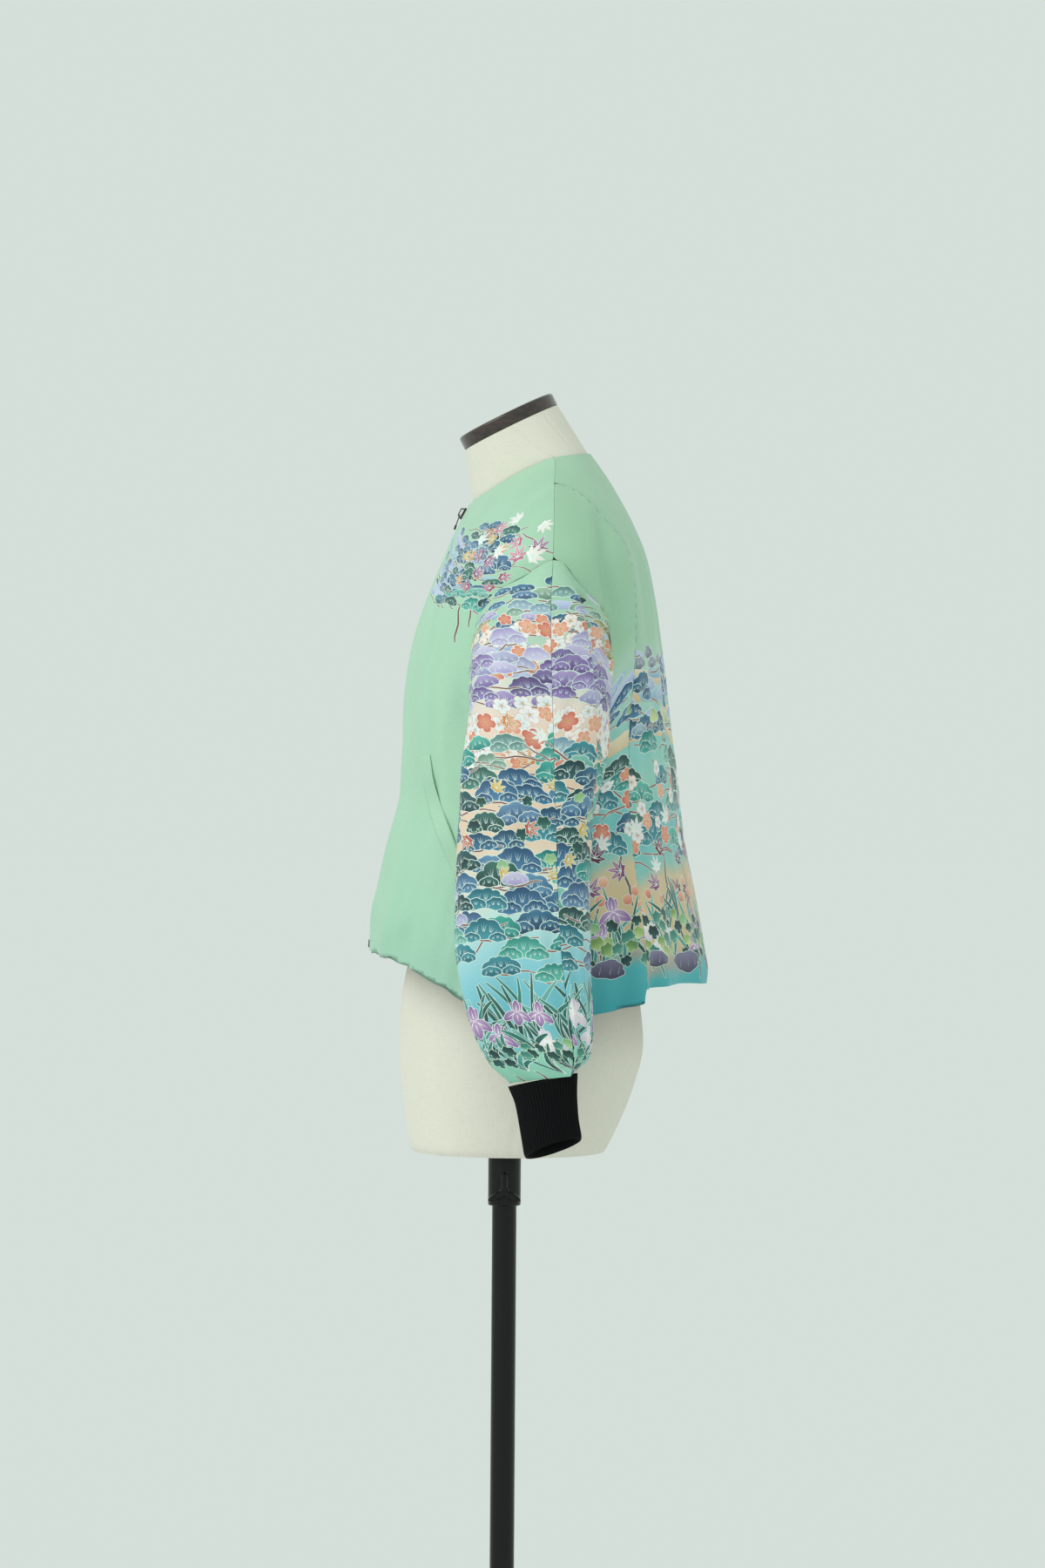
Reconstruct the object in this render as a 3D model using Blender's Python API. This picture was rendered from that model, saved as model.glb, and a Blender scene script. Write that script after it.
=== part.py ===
"""A zip-front blouson jacket of kimono cloth, worn by a limbless dress form on its pole stand.

Metres, +Z up. The origin is on the floor, on the pole's axis. The jacket's front faces -Y and the wearer's
left side faces +X. The cloth is a real wall: each panel is read from one smooth surface of the garment, so
neighbouring panels meet along the same seam line.
"""

import math

import bmesh
import bpy
import numpy as np
from mathutils import Matrix, Vector

MM = 0.001

# Cloth and its seams
CLOTH = 1.5 * MM  # kimono silk with its backing
RIB_WALL = 1.6 * MM  # the cuffs' plain inner layer
RIB_RAISE = 0.9 * MM  # how far each rib stands out
RIB_COUNT = 58
SEAM_GAP = 0.3 * MM
CUFF_DROP = 1.5 * MM  # the rib's top edge lies this far below its surface's end, clear of the sleeve
FRONT_EDGE = 3.0 * MM  # each front stops this far from the centre, for the zip's teeth
HALF_GIRTH = 600 * MM  # from centre front to centre back, for the width of a fold

# Zip
TAPE_WIDTH = 15 * MM
TAPE_WALL = 1.0 * MM
TAPE_GAP = 0.5 * MM
TEETH_WIDTH = 2.4 * MM
TAPE_END = 0.1  # the tape ends this share of a mesh row above the hem
SLIDER_HEIGHT = 1439.5 * MM
BOX_HEIGHT = 993 * MM
# Boxes of the zip's metal pieces in millimetres: half width, start and end down the slope, low and high over
# the cloth
SLIDER_PLATE = (4.5, -6.5, 6.5, 0.4, 2.5)
RETAINER_BOX = (4.5, -4, 4, 0.4, 2.4)
PULL_HEAD = (3.0, -0.5, 7.6, -0.5, 0.5)
PULL_NECK = (1.8, 7.0, 12.5, -0.5, 0.5)
PULL_GRIP = (3.5, 11.5, 16.5, -0.9, 1.1)
PULL_SLOT = (1.4, 0.6, 6.2, -2, 2)
SLIDER_BEVEL = 0.7 * MM
SMALL_BEVEL = 0.4 * MM
# The slider's arch seen from the side: down the slope, then out from the cloth
ARCH_OUTER = ((-5.4, 2.4), (-4.6, 5.2), (-3.6, 5.9), (3.6, 5.9), (4.8, 5.0), (5.2, 2.4))
ARCH_INNER = ((4.0, 2.4), (3.9, 4.4), (3.5, 4.85), (-3.0, 4.85), (-3.7, 4.2), (-4.1, 2.4))
ARCH_HALF = 1.0 * MM
# The pull's axis: down the slope from the slider's middle, and out from the cloth
PULL_EYE = (2.6 * MM, 3.95 * MM)
PULL_DROOP = math.radians(9)  # the pull lies down on the cloth

# Pocket welts
WELT_WALL = 1.4 * MM
WELT_LIFT = 1.2 * MM
WELT_COLUMNS = 2  # mesh steps across a welt

# Dress form
CAP_RADIUS = 53.5 * MM
CAP_TILT = math.radians(26.4)
CAP_CENTRE = Vector((0, 1.5 * MM, 1530 * MM))
# The cap's edge in millimetres: height over its lower face, and how far in from its full radius
CAP_PROFILE = ((0, 0.4), (0.8, 0), (12, 0), (13.5, 1.4), (14, 3.6))
FORM_BOTTOM = 780 * MM
PLATE_RADIUS = 34 * MM

# Stand
POLE_RADIUS = 12.7 * MM
RUNNING_GAP = 0.3 * MM
BORE = POLE_RADIUS + RUNNING_GAP
POLE_TOP = 1170 * MM
BORE_TOP = 1400 * MM
COLLAR_RADIUS = 17 * MM
COLLAR_RIM = 1.2 * MM
COLLAR_TOP = 773.2 * MM
COLLAR_BOTTOM = 722 * MM
KNOB_HEIGHT = 738 * MM
KNOB_REACH = 19.5 * MM
KNOB_HUB = 5.5 * MM
KNOB_NECK = 6 * MM
KNOB_FACES = (21 * MM, 30 * MM)  # the knob's inner and outer face, from the pole's axis
KNOB_ARMS = 3
ARM_POINTS = 16  # mesh steps round one arm
SCREW_RADIUS = 3 * MM
SCREW_SIDES = 16
POLE_RIM = 1 * MM
SOCKET_FLOOR = 8 * MM
# The cast base from the floor up, in millimetres: radius, height
BASE_PROFILE = ((168, 0), (170, 2), (170, 6), (167, 9), (62, 14), (38, 18), (32, 25), (28, 45), (24, 48))
BASE_SIDES = 36
ROUND_SIDES = 24
FORM_SIDES = 28
CUT = 20 * MM  # how far a cutter reaches past what it cuts

# The centre lines seen from the side, in millimetres: height, then place along Y.
FRONT_LINE = (
    (985, -141),
    (1024, -139),
    (1053, -132),
    (1091, -124),
    (1129, -114),
    (1148, -110),
    (1193, -109),
    (1232, -108.5),
    (1271, -105),
    (1311, -97.5),
    (1350, -85),
    (1395, -67),
    (1419, -57),
    (1450, -41),
)
BACK_LINE = (
    (952, 207),
    (969, 209),
    (984, 207),
    (1043, 196),
    (1108, 183),
    (1169, 176),
    (1222, 168),
    (1284, 161),
    (1351, 152),
    (1395, 143),
    (1432, 128),
    (1456, 115),
    (1476, 103),
    (1503, 84),
)

# Rings round the body from the neckline to the hem, in millimetres. A ring passes the centre front, the side
# and the centre back at three heights; power is its squareness, and seam_x places the side-back seam.
RING_COLUMNS = ("half_width", "side_z", "side_y", "front_z", "back_z", "power", "seam_x")
BODY_RINGS = (
    (72, 1497, 47, 1450, 1503, 2.0, 72),
    (110, 1484, 47, 1437, 1480, 2.1, 110),
    (150, 1468, 46, 1420, 1452, 2.2, 150),
    (190, 1449, 46, 1398, 1424, 2.25, 166),
    (235, 1387, 45, 1362, 1382, 2.35, 170),
    (227, 1330, 42, 1322, 1332, 2.4, 171),
    (217, 1270, 38, 1268, 1275, 2.4, 171),
    (209, 1210, 34, 1212, 1217, 2.4, 171),
    (205, 1150, 30, 1158, 1158, 2.4, 172),
    (207, 1100, 30, 1113, 1106, 2.4, 174),
    (213, 1040, 31, 1062, 1050, 2.4, 181),
    (220, 975, 32, 1015, 990, 2.4, 189),
    (226, 925, 32, 986, 950, 2.4, 196),
)
SHOULDER_TIP, UNDERARM, HEM = 4, 8, 12  # rows of BODY_RINGS
BACK_HEM = (11.66, 11.9, 11.97)  # the row where the back panel ends at its left seam, centre and right seam
SEAM_START = 2  # the side-back seam leaves the shoulder seam here

# The armhole: share of the way down from the shoulder tip, then its reach to the front and to the back.
ARMHOLE = (
    (0.0, 0, 0),
    (0.013, 8, 10),
    (0.05, 24, 18),
    (0.08, 41, 23),
    (0.118, 57, 31),
    (0.16, 66, 41),
    (0.211, 71, 57),
    (0.26, 74, 65),
    (0.40, 77, 69),
    (0.55, 76, 69),
    (0.70, 69, 62),
    (0.85, 52, 46),
    (0.95, 29, 26),
    (1.0, 0, 0),
)

# The pocket welt from the side, in millimetres: height, then the Y of its outer and of its opening edge.
WELT_LINE = (
    (1190, -87.5, -77.5),
    (1168, -85.5, -74.5),
    (1145, -81, -68),
    (1120, -74, -58.5),
    (1096, -65, -49),
    (1074, -54, -40),
    (1060, -46, -33),
)

# Soft folds: a line from one row and turn to another (turn 0 at centre front, 0.5 at the side, 1 at the
# centre back), the half width and the height in millimetres; a trough has a negative height.
BODY_FOLDS = (
    (2.7, 0.665, 6.2, 0.690, 15, -9),  # the deep fold behind the armhole
    (2.6, 0.735, 7.5, 0.760, 22, 5),
    (9.0, 0.690, 15, 0.692, 14, 9),  # the side panel's rear edge at the hem
    (10.4, 0.722, 15, 0.718, 10, -11),  # the back panel falls in behind it
    (9.2, 0.728, 15, 0.750, 12, 6),
    (9.3, 0.790, 15, 0.800, 22, -5),
    (9.5, 0.870, 15, 0.880, 24, 5),
    (7.6, 0.200, 14, 0.190, 18, 6),  # the front's long ridge
    (10.2, 0.060, 13.5, 0.150, 14, -5),  # the front hem's slanting crease
    (10.6, 0.330, 15, 0.345, 26, -5),
    (8.8, 0.430, 14, 0.425, 30, 6),
)

# Rings down the left sleeve, in millimetres, after the armhole itself. A ring runs from an outer point to an
# inner one, and reaches front_y and back_y; outer_y and inner_y place the two long seams.
SLEEVE_COLUMNS = (
    "outer_x",
    "outer_z",
    "inner_x",
    "inner_z",
    "front_y",
    "back_y",
    "outer_y",
    "inner_y",
    "front_drop",
    "power",
)
SLEEVE_RINGS = (
    (262, 1340, 208.5, 1142, -38, 105, 43, 31, 0, 2.3),
    (285, 1280, 213, 1133, -41, 102, 44, 30, 0, 2.4),
    (300, 1220, 219, 1122, -44, 95, 46, 28, 0, 2.4),
    (309, 1160, 226, 1108, -46, 88, 48, 26, 0, 2.4),
    (314, 1105, 234, 1085, -48, 85, 50, 23, 0, 2.4),
    (318, 1050, 242, 1048, -49, 84, 52, 20, 0, 2.4),
    (319, 1000, 247, 1000, -50, 84, 55, 18, 0, 2.4),
    (319, 955, 250, 955, -44, 85, 60, 20, 2, 2.3),
    (319, 918, 252, 916, -32, 85, 66, 26, 4, 2.2),
    (319, 890, 257, 887, -15, 83, 68, 32, 6, 2.1),
    (318, 872, 262, 869, 4.5, 72, 66, 38, 7, 2.0),
)
ARM_RINGS = len(SLEEVE_RINGS)
SLEEVE_BACK_FOLD = (  # ring, how far round from the outer seam the fold lies, in quarters, and its depth
    (0.3, 0.30, 3),
    (1.0, 0.36, 11),
    (2.0, 0.50, 14),
    (3.0, 0.64, 13),
    (4.0, 0.80, 7),
    (5.0, 0.90, 0),
)
GATHERS = 12  # waves round the sleeve above its cuff
GATHER_HEIGHT = 3.2 * MM
GATHER_FROM = 6.5  # the ring where they begin

# The rib cuff, top to bottom, in millimetres: its middle and half width along X, its reach along Y, its
# height, how far its outer side lies above that and its front below it.
CUFF_COLUMNS = ("mid_x", "half_x", "front_y", "back_y", "mid_z", "outer_rise", "front_drop")
CUFF_RINGS = (
    (290, 28, 4.5, 72, 868.6, 0.8, 7),
    (291, 26, 12, 71, 848, 3, 6),
    (293, 26, 17, 72.5, 825, 5, 7.5),
    (296, 26, 21, 76.7, 799, 6.5, 9),
)

# The dress form below the shoulders, in millimetres.
FORM_COLUMNS = ("half_width", "side_z", "side_y", "front_z", "front_y", "back_z", "back_y", "power")
FORM_RINGS = (
    (187, 1432, 46, 1368, -72, 1396, 137, 2.3),
    (180, 1385, 45, 1330, -85, 1355, 140, 2.5),
    (170, 1325, 42, 1290, -95, 1305, 139, 2.6),
    (160, 1270, 36, 1245, -100, 1255, 133, 2.4),
    (146, 1215, 30, 1200, -97, 1205, 123, 2.2),
    (130, 1160, 24, 1150, -88, 1155, 112, 2.1),
    (120, 1100, 20, 1098, -80, 1100, 104, 2.05),
    (131, 1045, 19, 1045, -85, 1045, 109, 2.05),
    (151, 990, 17, 990, -98, 990, 124, 2.1),
    (165, 935, 16, 935, -108, 935, 139, 2.15),
    (170, 890, 16, 890, -110, 890, 143, 2.2),
    (168, 850, 16, 850, -107, 850, 134, 2.2),
    (162, 815, 13, 815, -103, 815, 121, 2.2),
    (153, 786, 6, 786, -99, 786, 107, 2.2),
)
FORM_SHOULDERS = (  # row of the body, how far the form lies below the cloth's outer side in millimetres
    (0, 2.6),
    (0.5, 2.9),
    (1, 3.2),
    (1.5, 3.7),
    (2, 4.0),
    (2.5, 4.2),
    (2.9, 4.5),
)
FORM_BEHIND_ZIP = 2.0 * MM  # the form is this much flatter at the front, where the zip's tape lies

# Mesh rows of the body and of the sleeve
UPPER_ROWS = (0, 0.6, 1.3, 2, 2.6, 3.3)
ARMHOLE_STEPS = 12
LOWER_ROWS = (8.8, 9.7, 10.5, 11.3, 12)
FRONT_COLUMNS, SIDE_COLUMNS = 8, 4
BACK_SHARES = (0, 0.085, 0.18, 0.31, 0.5, 0.75, 1)  # mesh columns from the side-back seam to the centre back
PANEL_POINT = 0.16  # the side panel's point at the shoulder is cut off by this share of a mesh row
SLEEVE_ROWS = (0, 0.4, 1, 1.6, 2.3, 3.1, 4, 5.2, 6.6)
GATHERED_ROWS = (7.8, 8.8, 9.8, 11)
CUFF_ROWS = (0, 1.4, 3)

COLOURS = {  # base colour, roughness, metallic
    "celadon kimono silk": ((0.39, 0.65, 0.46, 1), 0.62, 0),
    "black rib knit": ((0.010, 0.011, 0.014, 1), 0.85, 0),
    "black coated metal": ((0.010, 0.010, 0.010, 1), 0.35, 1),
    "black zip tape": ((0.010, 0.010, 0.010, 1), 0.80, 0),
    "cream linen": ((0.79, 0.76, 0.67, 1), 0.85, 0),
    "dark stained wood": ((0.035, 0.017, 0.009, 1), 0.30, 0),
    "black painted steel": ((0.012, 0.013, 0.014, 1), 0.40, 1),
}


# Smooth curves and tables


def smooth(places, values, at):
    """A smooth curve through values at places, which never overshoots them. values may hold whole rows."""
    places, values, at = (np.asarray(item, float) for item in (places, values, at))
    step = np.diff(places).reshape((-1,) + (1,) * (values.ndim - 1))
    slope = np.diff(values, axis=0) / step
    tangent = np.zeros_like(values)
    tangent[0], tangent[-1] = slope[0], slope[-1]
    before, after = slope[:-1], slope[1:]
    same = before * after > 0
    tangent[1:-1] = np.where(same, 2 * before * after / np.where(same, before + after, 1), 0)
    at = np.clip(at, places[0], places[-1])
    i = np.clip(np.searchsorted(places, at, side="right") - 1, 0, len(places) - 2)
    extra = (1,) * (values.ndim - 1)
    width = step[i].reshape(at.shape + extra)
    t = (at - places[i]).reshape(at.shape + extra) / width
    start = (1 + 2 * t) * (1 - t) ** 2 * values[i] + t * (1 - t) ** 2 * width * tangent[i]
    end = t * t * (3 - 2 * t) * values[i + 1] + t * t * (t - 1) * width * tangent[i + 1]
    return start + end


def ramp(x):
    """0 below 0, 1 above 1, and smooth between."""
    x = np.clip(x, 0, 1)
    return x * x * (3 - 2 * x)


def column(table, columns, name, at, first=0):
    values = [row[columns.index(name)] for row in table]
    return smooth(range(first, first + len(table)), values, at)


def superellipse(angle, power):
    """The point at this angle from the first axis, as shares of the two half axes."""
    along, across = np.cos(angle), np.sin(angle)
    reach = (np.abs(along) ** power + np.abs(across) ** power) ** (-1 / power)
    return along * reach, across * reach


def unit(vectors):
    return vectors / np.maximum(np.linalg.norm(vectors, axis=-1, keepdims=True), 1e-12)


# The garment's surface


def body_ring(name, row):
    return column(BODY_RINGS, RING_COLUMNS, name, row)


def end_line(front, row):
    """Where the centre front or the centre back lies at this row: its place along Y and its height."""
    height = body_ring("front_z" if front else "back_z", row)
    line = FRONT_LINE if front else BACK_LINE
    return smooth([z for z, _ in line], [y for _, y in line], height), height


def plain_body(row, turn):
    """A point of the body without folds. turn is 0 at the centre front, 0.5 at the side, 1 at the back."""
    row, turn = np.broadcast_arrays(np.asarray(row, float), np.asarray(turn, float))
    along, across = superellipse(math.pi * turn, body_ring("power", row))
    side_y, side_z = body_ring("side_y", row), body_ring("side_z", row)
    front_y, front_z = end_line(True, row)
    back_y, back_z = end_line(False, row)
    end_y, end_z = np.where(along > 0, front_y, back_y), np.where(along > 0, front_z, back_z)
    share = np.abs(along)
    lower = np.clip((row - SHOULDER_TIP) / (HEM - SHOULDER_TIP), 0, 1)
    sweep = (1 - lower) * share**1.25 + lower * ramp(share) ** 1.3
    return MM * np.stack(
        [
            body_ring("half_width", row) * across,
            side_y + (end_y - side_y) * share,
            side_z + (end_z - side_z) * sweep,
        ],
        axis=-1,
    )


def fold_height(folds, row, turn, girth):
    """How far the folds lift the cloth at this place."""
    total = np.zeros(np.broadcast(row, turn).shape)
    for row_a, turn_a, row_b, turn_b, width, height in folds:
        along = (row - row_a) / (row_b - row_a)
        beside = (turn - turn_a - (turn_b - turn_a) * along) * girth / (width * MM)
        ends = ramp(along * 3) * ramp((1 - along) * 3)
        total = total + height * MM * ends * np.exp(-(beside**2))
    return total


def normals(surface, row, turn):
    """Unit normals of a surface, from two short steps along each of its directions."""
    small = 1e-3
    down = surface(row + small, turn) - surface(row - small, turn)
    around = surface(row, turn + small) - surface(row, turn - small)
    return unit(np.cross(down, around))


def body(row, turn):
    row, turn = np.broadcast_arrays(np.asarray(row, float), np.asarray(turn, float))
    lift = fold_height(BODY_FOLDS, row, turn, HALF_GIRTH)
    return plain_body(row, turn) + normals(plain_body, row, turn) * lift[..., None]


def turn_at_x(row, x):
    """The turn on the back half where the body is x wide."""
    power = body_ring("power", row)
    across = np.clip(x / body_ring("half_width", row), 0, 1)
    along = (1 - across**power) ** (1 / power)
    return np.arctan2(across, -along) / math.pi


def armhole_rows():
    """Mesh rows beside the armhole, closer together at its top and bottom."""
    share = (1 - np.cos(np.linspace(0, math.pi, ARMHOLE_STEPS + 1))) / 2
    top, bottom = body_ring("side_z", SHOULDER_TIP), body_ring("side_z", UNDERARM)
    fine = np.linspace(SHOULDER_TIP, UNDERARM, 400)
    heights = body_ring("side_z", fine)
    return np.interp(top - share * (top - bottom), heights[::-1], fine[::-1]), share


def armhole_turn(row, share, front):
    """The turn at which this row meets the armhole's front or back edge."""
    reach = smooth([a for a, _, _ in ARMHOLE], [a[1 if front else 2] for a in ARMHOLE], share)
    side_y = body_ring("side_y", row)
    along = reach / np.abs(end_line(front, row)[0] - side_y)
    power = body_ring("power", row)
    across = (1 - along**power) ** (1 / power)
    return np.arctan2(across, along if front else -along) / math.pi


def armhole_loop(angle):
    """The armhole's edge: angle 0 at the shoulder tip, then the front, the underarm and the back."""
    rows, share = armhole_rows()
    at = (1 - np.cos(angle)) / 2
    row = np.interp(at, share, rows)
    front = np.sin(angle) >= -1e-9
    turn = np.where(front, armhole_turn(row, at, True), armhole_turn(row, at, False))
    return body(row, turn)


def sleeve_ring(index, angle):
    """Points of one tabled ring of the left sleeve, in metres."""
    ring = dict(zip(SLEEVE_COLUMNS, SLEEVE_RINGS[index]))
    along, across = superellipse(angle, ring["power"])
    inward = (1 - along) / 2
    middle_y = ring["outer_y"] + (ring["inner_y"] - ring["outer_y"]) * inward
    reach_y = np.where(across > 0, ring["front_y"], ring["back_y"]) - middle_y
    return MM * np.stack(
        [
            ring["outer_x"] + (ring["inner_x"] - ring["outer_x"]) * inward,
            middle_y + reach_y * np.abs(across),
            ring["outer_z"] + (ring["inner_z"] - ring["outer_z"]) * inward - ring["front_drop"] * across,
        ],
        axis=-1,
    )


def plain_sleeve(ring, angle):
    """A point of the left sleeve without folds. Ring 0 is the armhole, and both arguments have one shape."""
    loops = [armhole_loop(angle)] + [sleeve_ring(index, angle) for index in range(ARM_RINGS)]
    stack = np.stack(loops)
    result = np.empty(angle.shape + (3,))
    for at in np.unique(ring):
        here = ring == at
        result[here] = smooth(range(ARM_RINGS + 1), stack, np.array(at))[here]
    return result


def sleeve_lift(ring, angle):
    """The sleeve's long back fold and the gathers above its cuff."""
    quarter = np.where(np.sin(angle) < 0, (2 * math.pi - angle) / (math.pi / 2), -1)
    places = [row[0] for row in SLEEVE_BACK_FOLD]
    line = smooth(places, [row[1] for row in SLEEVE_BACK_FOLD], ring)
    depth = smooth(places, [row[2] for row in SLEEVE_BACK_FOLD], ring)
    inside = (ring > places[0]) & (ring < places[-1])
    behind = (quarter - line) / 0.12
    before_edge = ramp((1.25 - quarter) / 0.45)
    fold = np.where(inside, -depth * MM * ramp(behind) * before_edge, 0)
    rise = ramp((ring - GATHER_FROM) / 3) * ramp((ARM_RINGS + 0.2 - ring) / 1.2)
    uneven = 0.65 + 0.35 * np.sin(3 * angle + 0.8)
    return fold - GATHER_HEIGHT * rise * uneven * np.cos(GATHERS * angle)


def sleeve(ring, angle):
    ring, angle = np.broadcast_arrays(np.asarray(ring, float), np.asarray(angle, float))
    out = sleeve_normals(plain_sleeve, ring, angle)
    return plain_sleeve(ring, angle) + out * sleeve_lift(ring, angle)[..., None]


def sleeve_normals(surface, ring, angle):
    small = 1e-3
    down = surface(np.minimum(ring + small, ARM_RINGS), angle) - surface(np.maximum(ring - small, 0), angle)
    around = surface(ring, angle + small) - surface(ring, angle - small)
    return unit(np.cross(around, down))


# Solids from rows of points


def pull_back(outer, inner, first_row, last_row, first_column, last_column):
    """Moves the named edges of a panel half a seam's gap away from its neighbours."""
    edges = (
        (first_row, (0, slice(None)), (1, slice(None))),
        (last_row, (-1, slice(None)), (-2, slice(None))),
        (first_column, (slice(None), 0), (slice(None), 1)),
        (last_column, (slice(None), -1), (slice(None), -2)),
    )
    for wanted, edge, beside in edges:
        if wanted:
            shift = unit(outer[beside] - outer[edge]) * SEAM_GAP / 2
            outer[edge] += shift
            inner[edge] += shift


def quad(points, a, b, c, d):
    """Two triangles of a quad, split along its shorter diagonal."""
    if np.linalg.norm(points[a] - points[c]) <= np.linalg.norm(points[b] - points[d]):
        return [(a, b, c), (a, c, d)]
    return [(a, b, d), (b, c, d)]


def layer_faces(rows, points):
    """Triangles of a layer from its rows' point numbers. A row may have twice the steps of the last one."""
    faces = []
    for upper, lower in zip(rows, rows[1:]):
        if len(upper) == len(lower):
            for j in range(len(upper) - 1):
                faces += quad(points, upper[j], lower[j], lower[j + 1], upper[j + 1])
            continue
        for j in range(len(upper) - 1):
            a, b = upper[j], upper[j + 1]
            c, d, e = lower[2 * j], lower[2 * j + 1], lower[2 * j + 2]
            faces += [(a, c, d), (a, d, b), (b, d, e)]
    return faces


def wall_mesh(name, outer_rows, inner_rows, ring=False):
    """A closed wall between two layers with the same rows of points. A ring's rows close on themselves."""
    points, rows = [], []
    for layer in (outer_rows, inner_rows):
        for row in layer:
            first = len(points)
            points += [np.asarray(point) for point in row]
            numbers = list(range(first, first + len(row)))
            rows.append(numbers + numbers[:1] if ring else numbers)
    count = len(outer_rows)
    outer, inner = rows[:count], rows[count:]
    offset = inner[0][0] - outer[0][0]
    faces = layer_faces(outer, points)
    faces += [tuple(number + offset for number in reversed(face)) for face in faces]
    rim = [list(reversed(outer[0])), outer[-1]]
    if not ring:
        rim += [[row[0] for row in outer], [row[-1] for row in reversed(outer)]]
    for edge in rim:
        for a, b in zip(edge, edge[1:]):
            faces += [(b, a, a + offset), (b, a + offset, b + offset)]
    return mesh_of(name, points, faces)


def mesh_of(name, points, faces):
    mesh = bpy.data.meshes.new(name)
    mesh.from_pydata([tuple(point) for point in points], [], faces)
    work = bmesh.new()
    work.from_mesh(mesh)
    bmesh.ops.recalc_face_normals(work, faces=work.faces)
    work.to_mesh(mesh)
    work.free()
    return mesh


def mirrored(mesh, name):
    """A copy on the wearer's right side."""
    other = mesh.copy()
    other.name = name
    other.transform(Matrix.Scale(-1, 4, (1, 0, 0)))
    other.flip_normals()
    return other


def material(name):
    found = bpy.data.materials.get(name)
    if found:
        return found
    colour, roughness, metallic = COLOURS[name]
    made = bpy.data.materials.new(name)
    made.use_nodes = True
    shader = made.node_tree.nodes["Principled BSDF"]
    shader.inputs["Base Color"].default_value = colour
    shader.inputs["Roughness"].default_value = roughness
    shader.inputs["Metallic"].default_value = metallic
    made.diffuse_color = colour
    return made


def add(name, mesh, finish, parent=None, pivot=(0, 0, 0), sharp=40):
    """Puts a mesh in world coordinates into the scene as an object, with its origin at pivot."""
    pivot = Vector(pivot)
    mesh.transform(Matrix.Translation(-pivot))
    mesh.materials.append(material(finish))
    mesh.shade_smooth()
    mesh.set_sharp_from_angle(angle=math.radians(sharp))
    obj = bpy.data.objects.new(name, mesh)
    obj.location = pivot
    bpy.context.collection.objects.link(obj)
    if parent:
        obj.parent = parent
        obj.matrix_parent_inverse = Matrix.Translation(parent.location).inverted()
    return obj


def empty(name, place, parent=None):
    obj = bpy.data.objects.new(name, None)
    obj.location = place
    bpy.context.collection.objects.link(obj)
    if parent:
        obj.parent = parent
        obj.matrix_parent_inverse = Matrix.Translation(parent.location).inverted()
    return obj


# The jacket's panels


def panel_grid(surface, normal_of, rows, columns, wall=CLOTH, lift=0.0):
    """Outer and inner points of a panel at these rows and columns."""
    out = normal_of(surface, rows, columns)
    outer = surface(rows, columns) + out * lift
    return outer, outer - out * wall


def body_rows():
    """Every mesh row of the body, with its share of the armhole's depth, or none."""
    beside, share = armhole_rows()
    rows = [(row, None) for row in UPPER_ROWS]
    rows += list(zip(beside, share))
    return rows + [(row, None) for row in LOWER_ROWS]


def side_turns(rows, front):
    """Where each row ends at the side: the shoulder seam, the armhole or the side seam."""
    return np.array([0.5 if share is None else armhole_turn(row, share, front) for row, share in rows])


def even_grid(starts, ends, steps):
    return starts[:, None] + (ends - starts)[:, None] * np.linspace(0, 1, steps + 1)


def front_grid():
    """Outer and inner points of the left front."""
    rows = body_rows()
    levels = np.array([row for row, _ in rows])
    edge = np.arctan(FRONT_EDGE / MM / body_ring("half_width", levels)) / math.pi
    turns = even_grid(edge, side_turns(rows, True), FRONT_COLUMNS)
    outer, inner = panel_grid(body, normals, np.broadcast_to(levels[:, None], turns.shape), turns)
    pull_back(outer, inner, False, False, False, True)
    return outer, inner


def front_panel():
    return wall_mesh("front_left", *front_grid())


def back_side_panel():
    rows = [pair for pair in body_rows() if pair[0] >= SEAM_START]
    levels = np.array([row for row, _ in rows])
    seam = turn_at_x(levels, body_ring("seam_x", levels))
    turns = even_grid(side_turns(rows, False), seam, SIDE_COLUMNS)
    outer, inner = panel_grid(body, normals, np.broadcast_to(levels[:, None], turns.shape), turns)
    for layer in (outer, inner):
        layer[0] += (layer[1] - layer[0]) * PANEL_POINT
    pull_back(outer, inner, False, False, True, True)
    return wall_mesh("back_side_left", outer, inner)


def back_panel():
    levels = np.array([row for row, _ in body_rows()])
    levels[-1] = BACK_HEM[1]
    seam = np.where(levels > SEAM_START, turn_at_x(levels, body_ring("seam_x", levels)), 0.5)
    half = seam[:, None] + (1 - seam[:, None]) * np.array(BACK_SHARES)
    turns = np.concatenate([half, 2 - half[:, -2::-1]], axis=1)
    rows = np.repeat(levels[:, None], turns.shape[1], axis=1)
    rows[-1] = np.interp(turns[-1], (turns[-1][0], 1, turns[-1][-1]), BACK_HEM)
    outer, inner = panel_grid(body, normals, rows, turns)
    pull_back(outer, inner, False, False, True, True)
    return wall_mesh("back_centre", outer, inner)


def sleeve_panel(name, front):
    start = 0 if front else math.pi
    outer_rows, inner_rows = [], []
    for rows, steps in ((SLEEVE_ROWS, ARMHOLE_STEPS), (GATHERED_ROWS, 2 * ARMHOLE_STEPS)):
        angles = start + np.linspace(0, math.pi, steps + 1)
        rings = np.broadcast_to(np.array(rows, float)[:, None], (len(rows), len(angles)))
        grid = np.broadcast_to(angles, rings.shape)
        outer, inner = panel_grid(sleeve, sleeve_normals, rings, grid)
        is_top = rows is SLEEVE_ROWS
        pull_back(outer, inner, is_top, not is_top, True, True)
        outer_rows += list(outer)
        inner_rows += list(inner)
    return wall_mesh(name, outer_rows, inner_rows)


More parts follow.
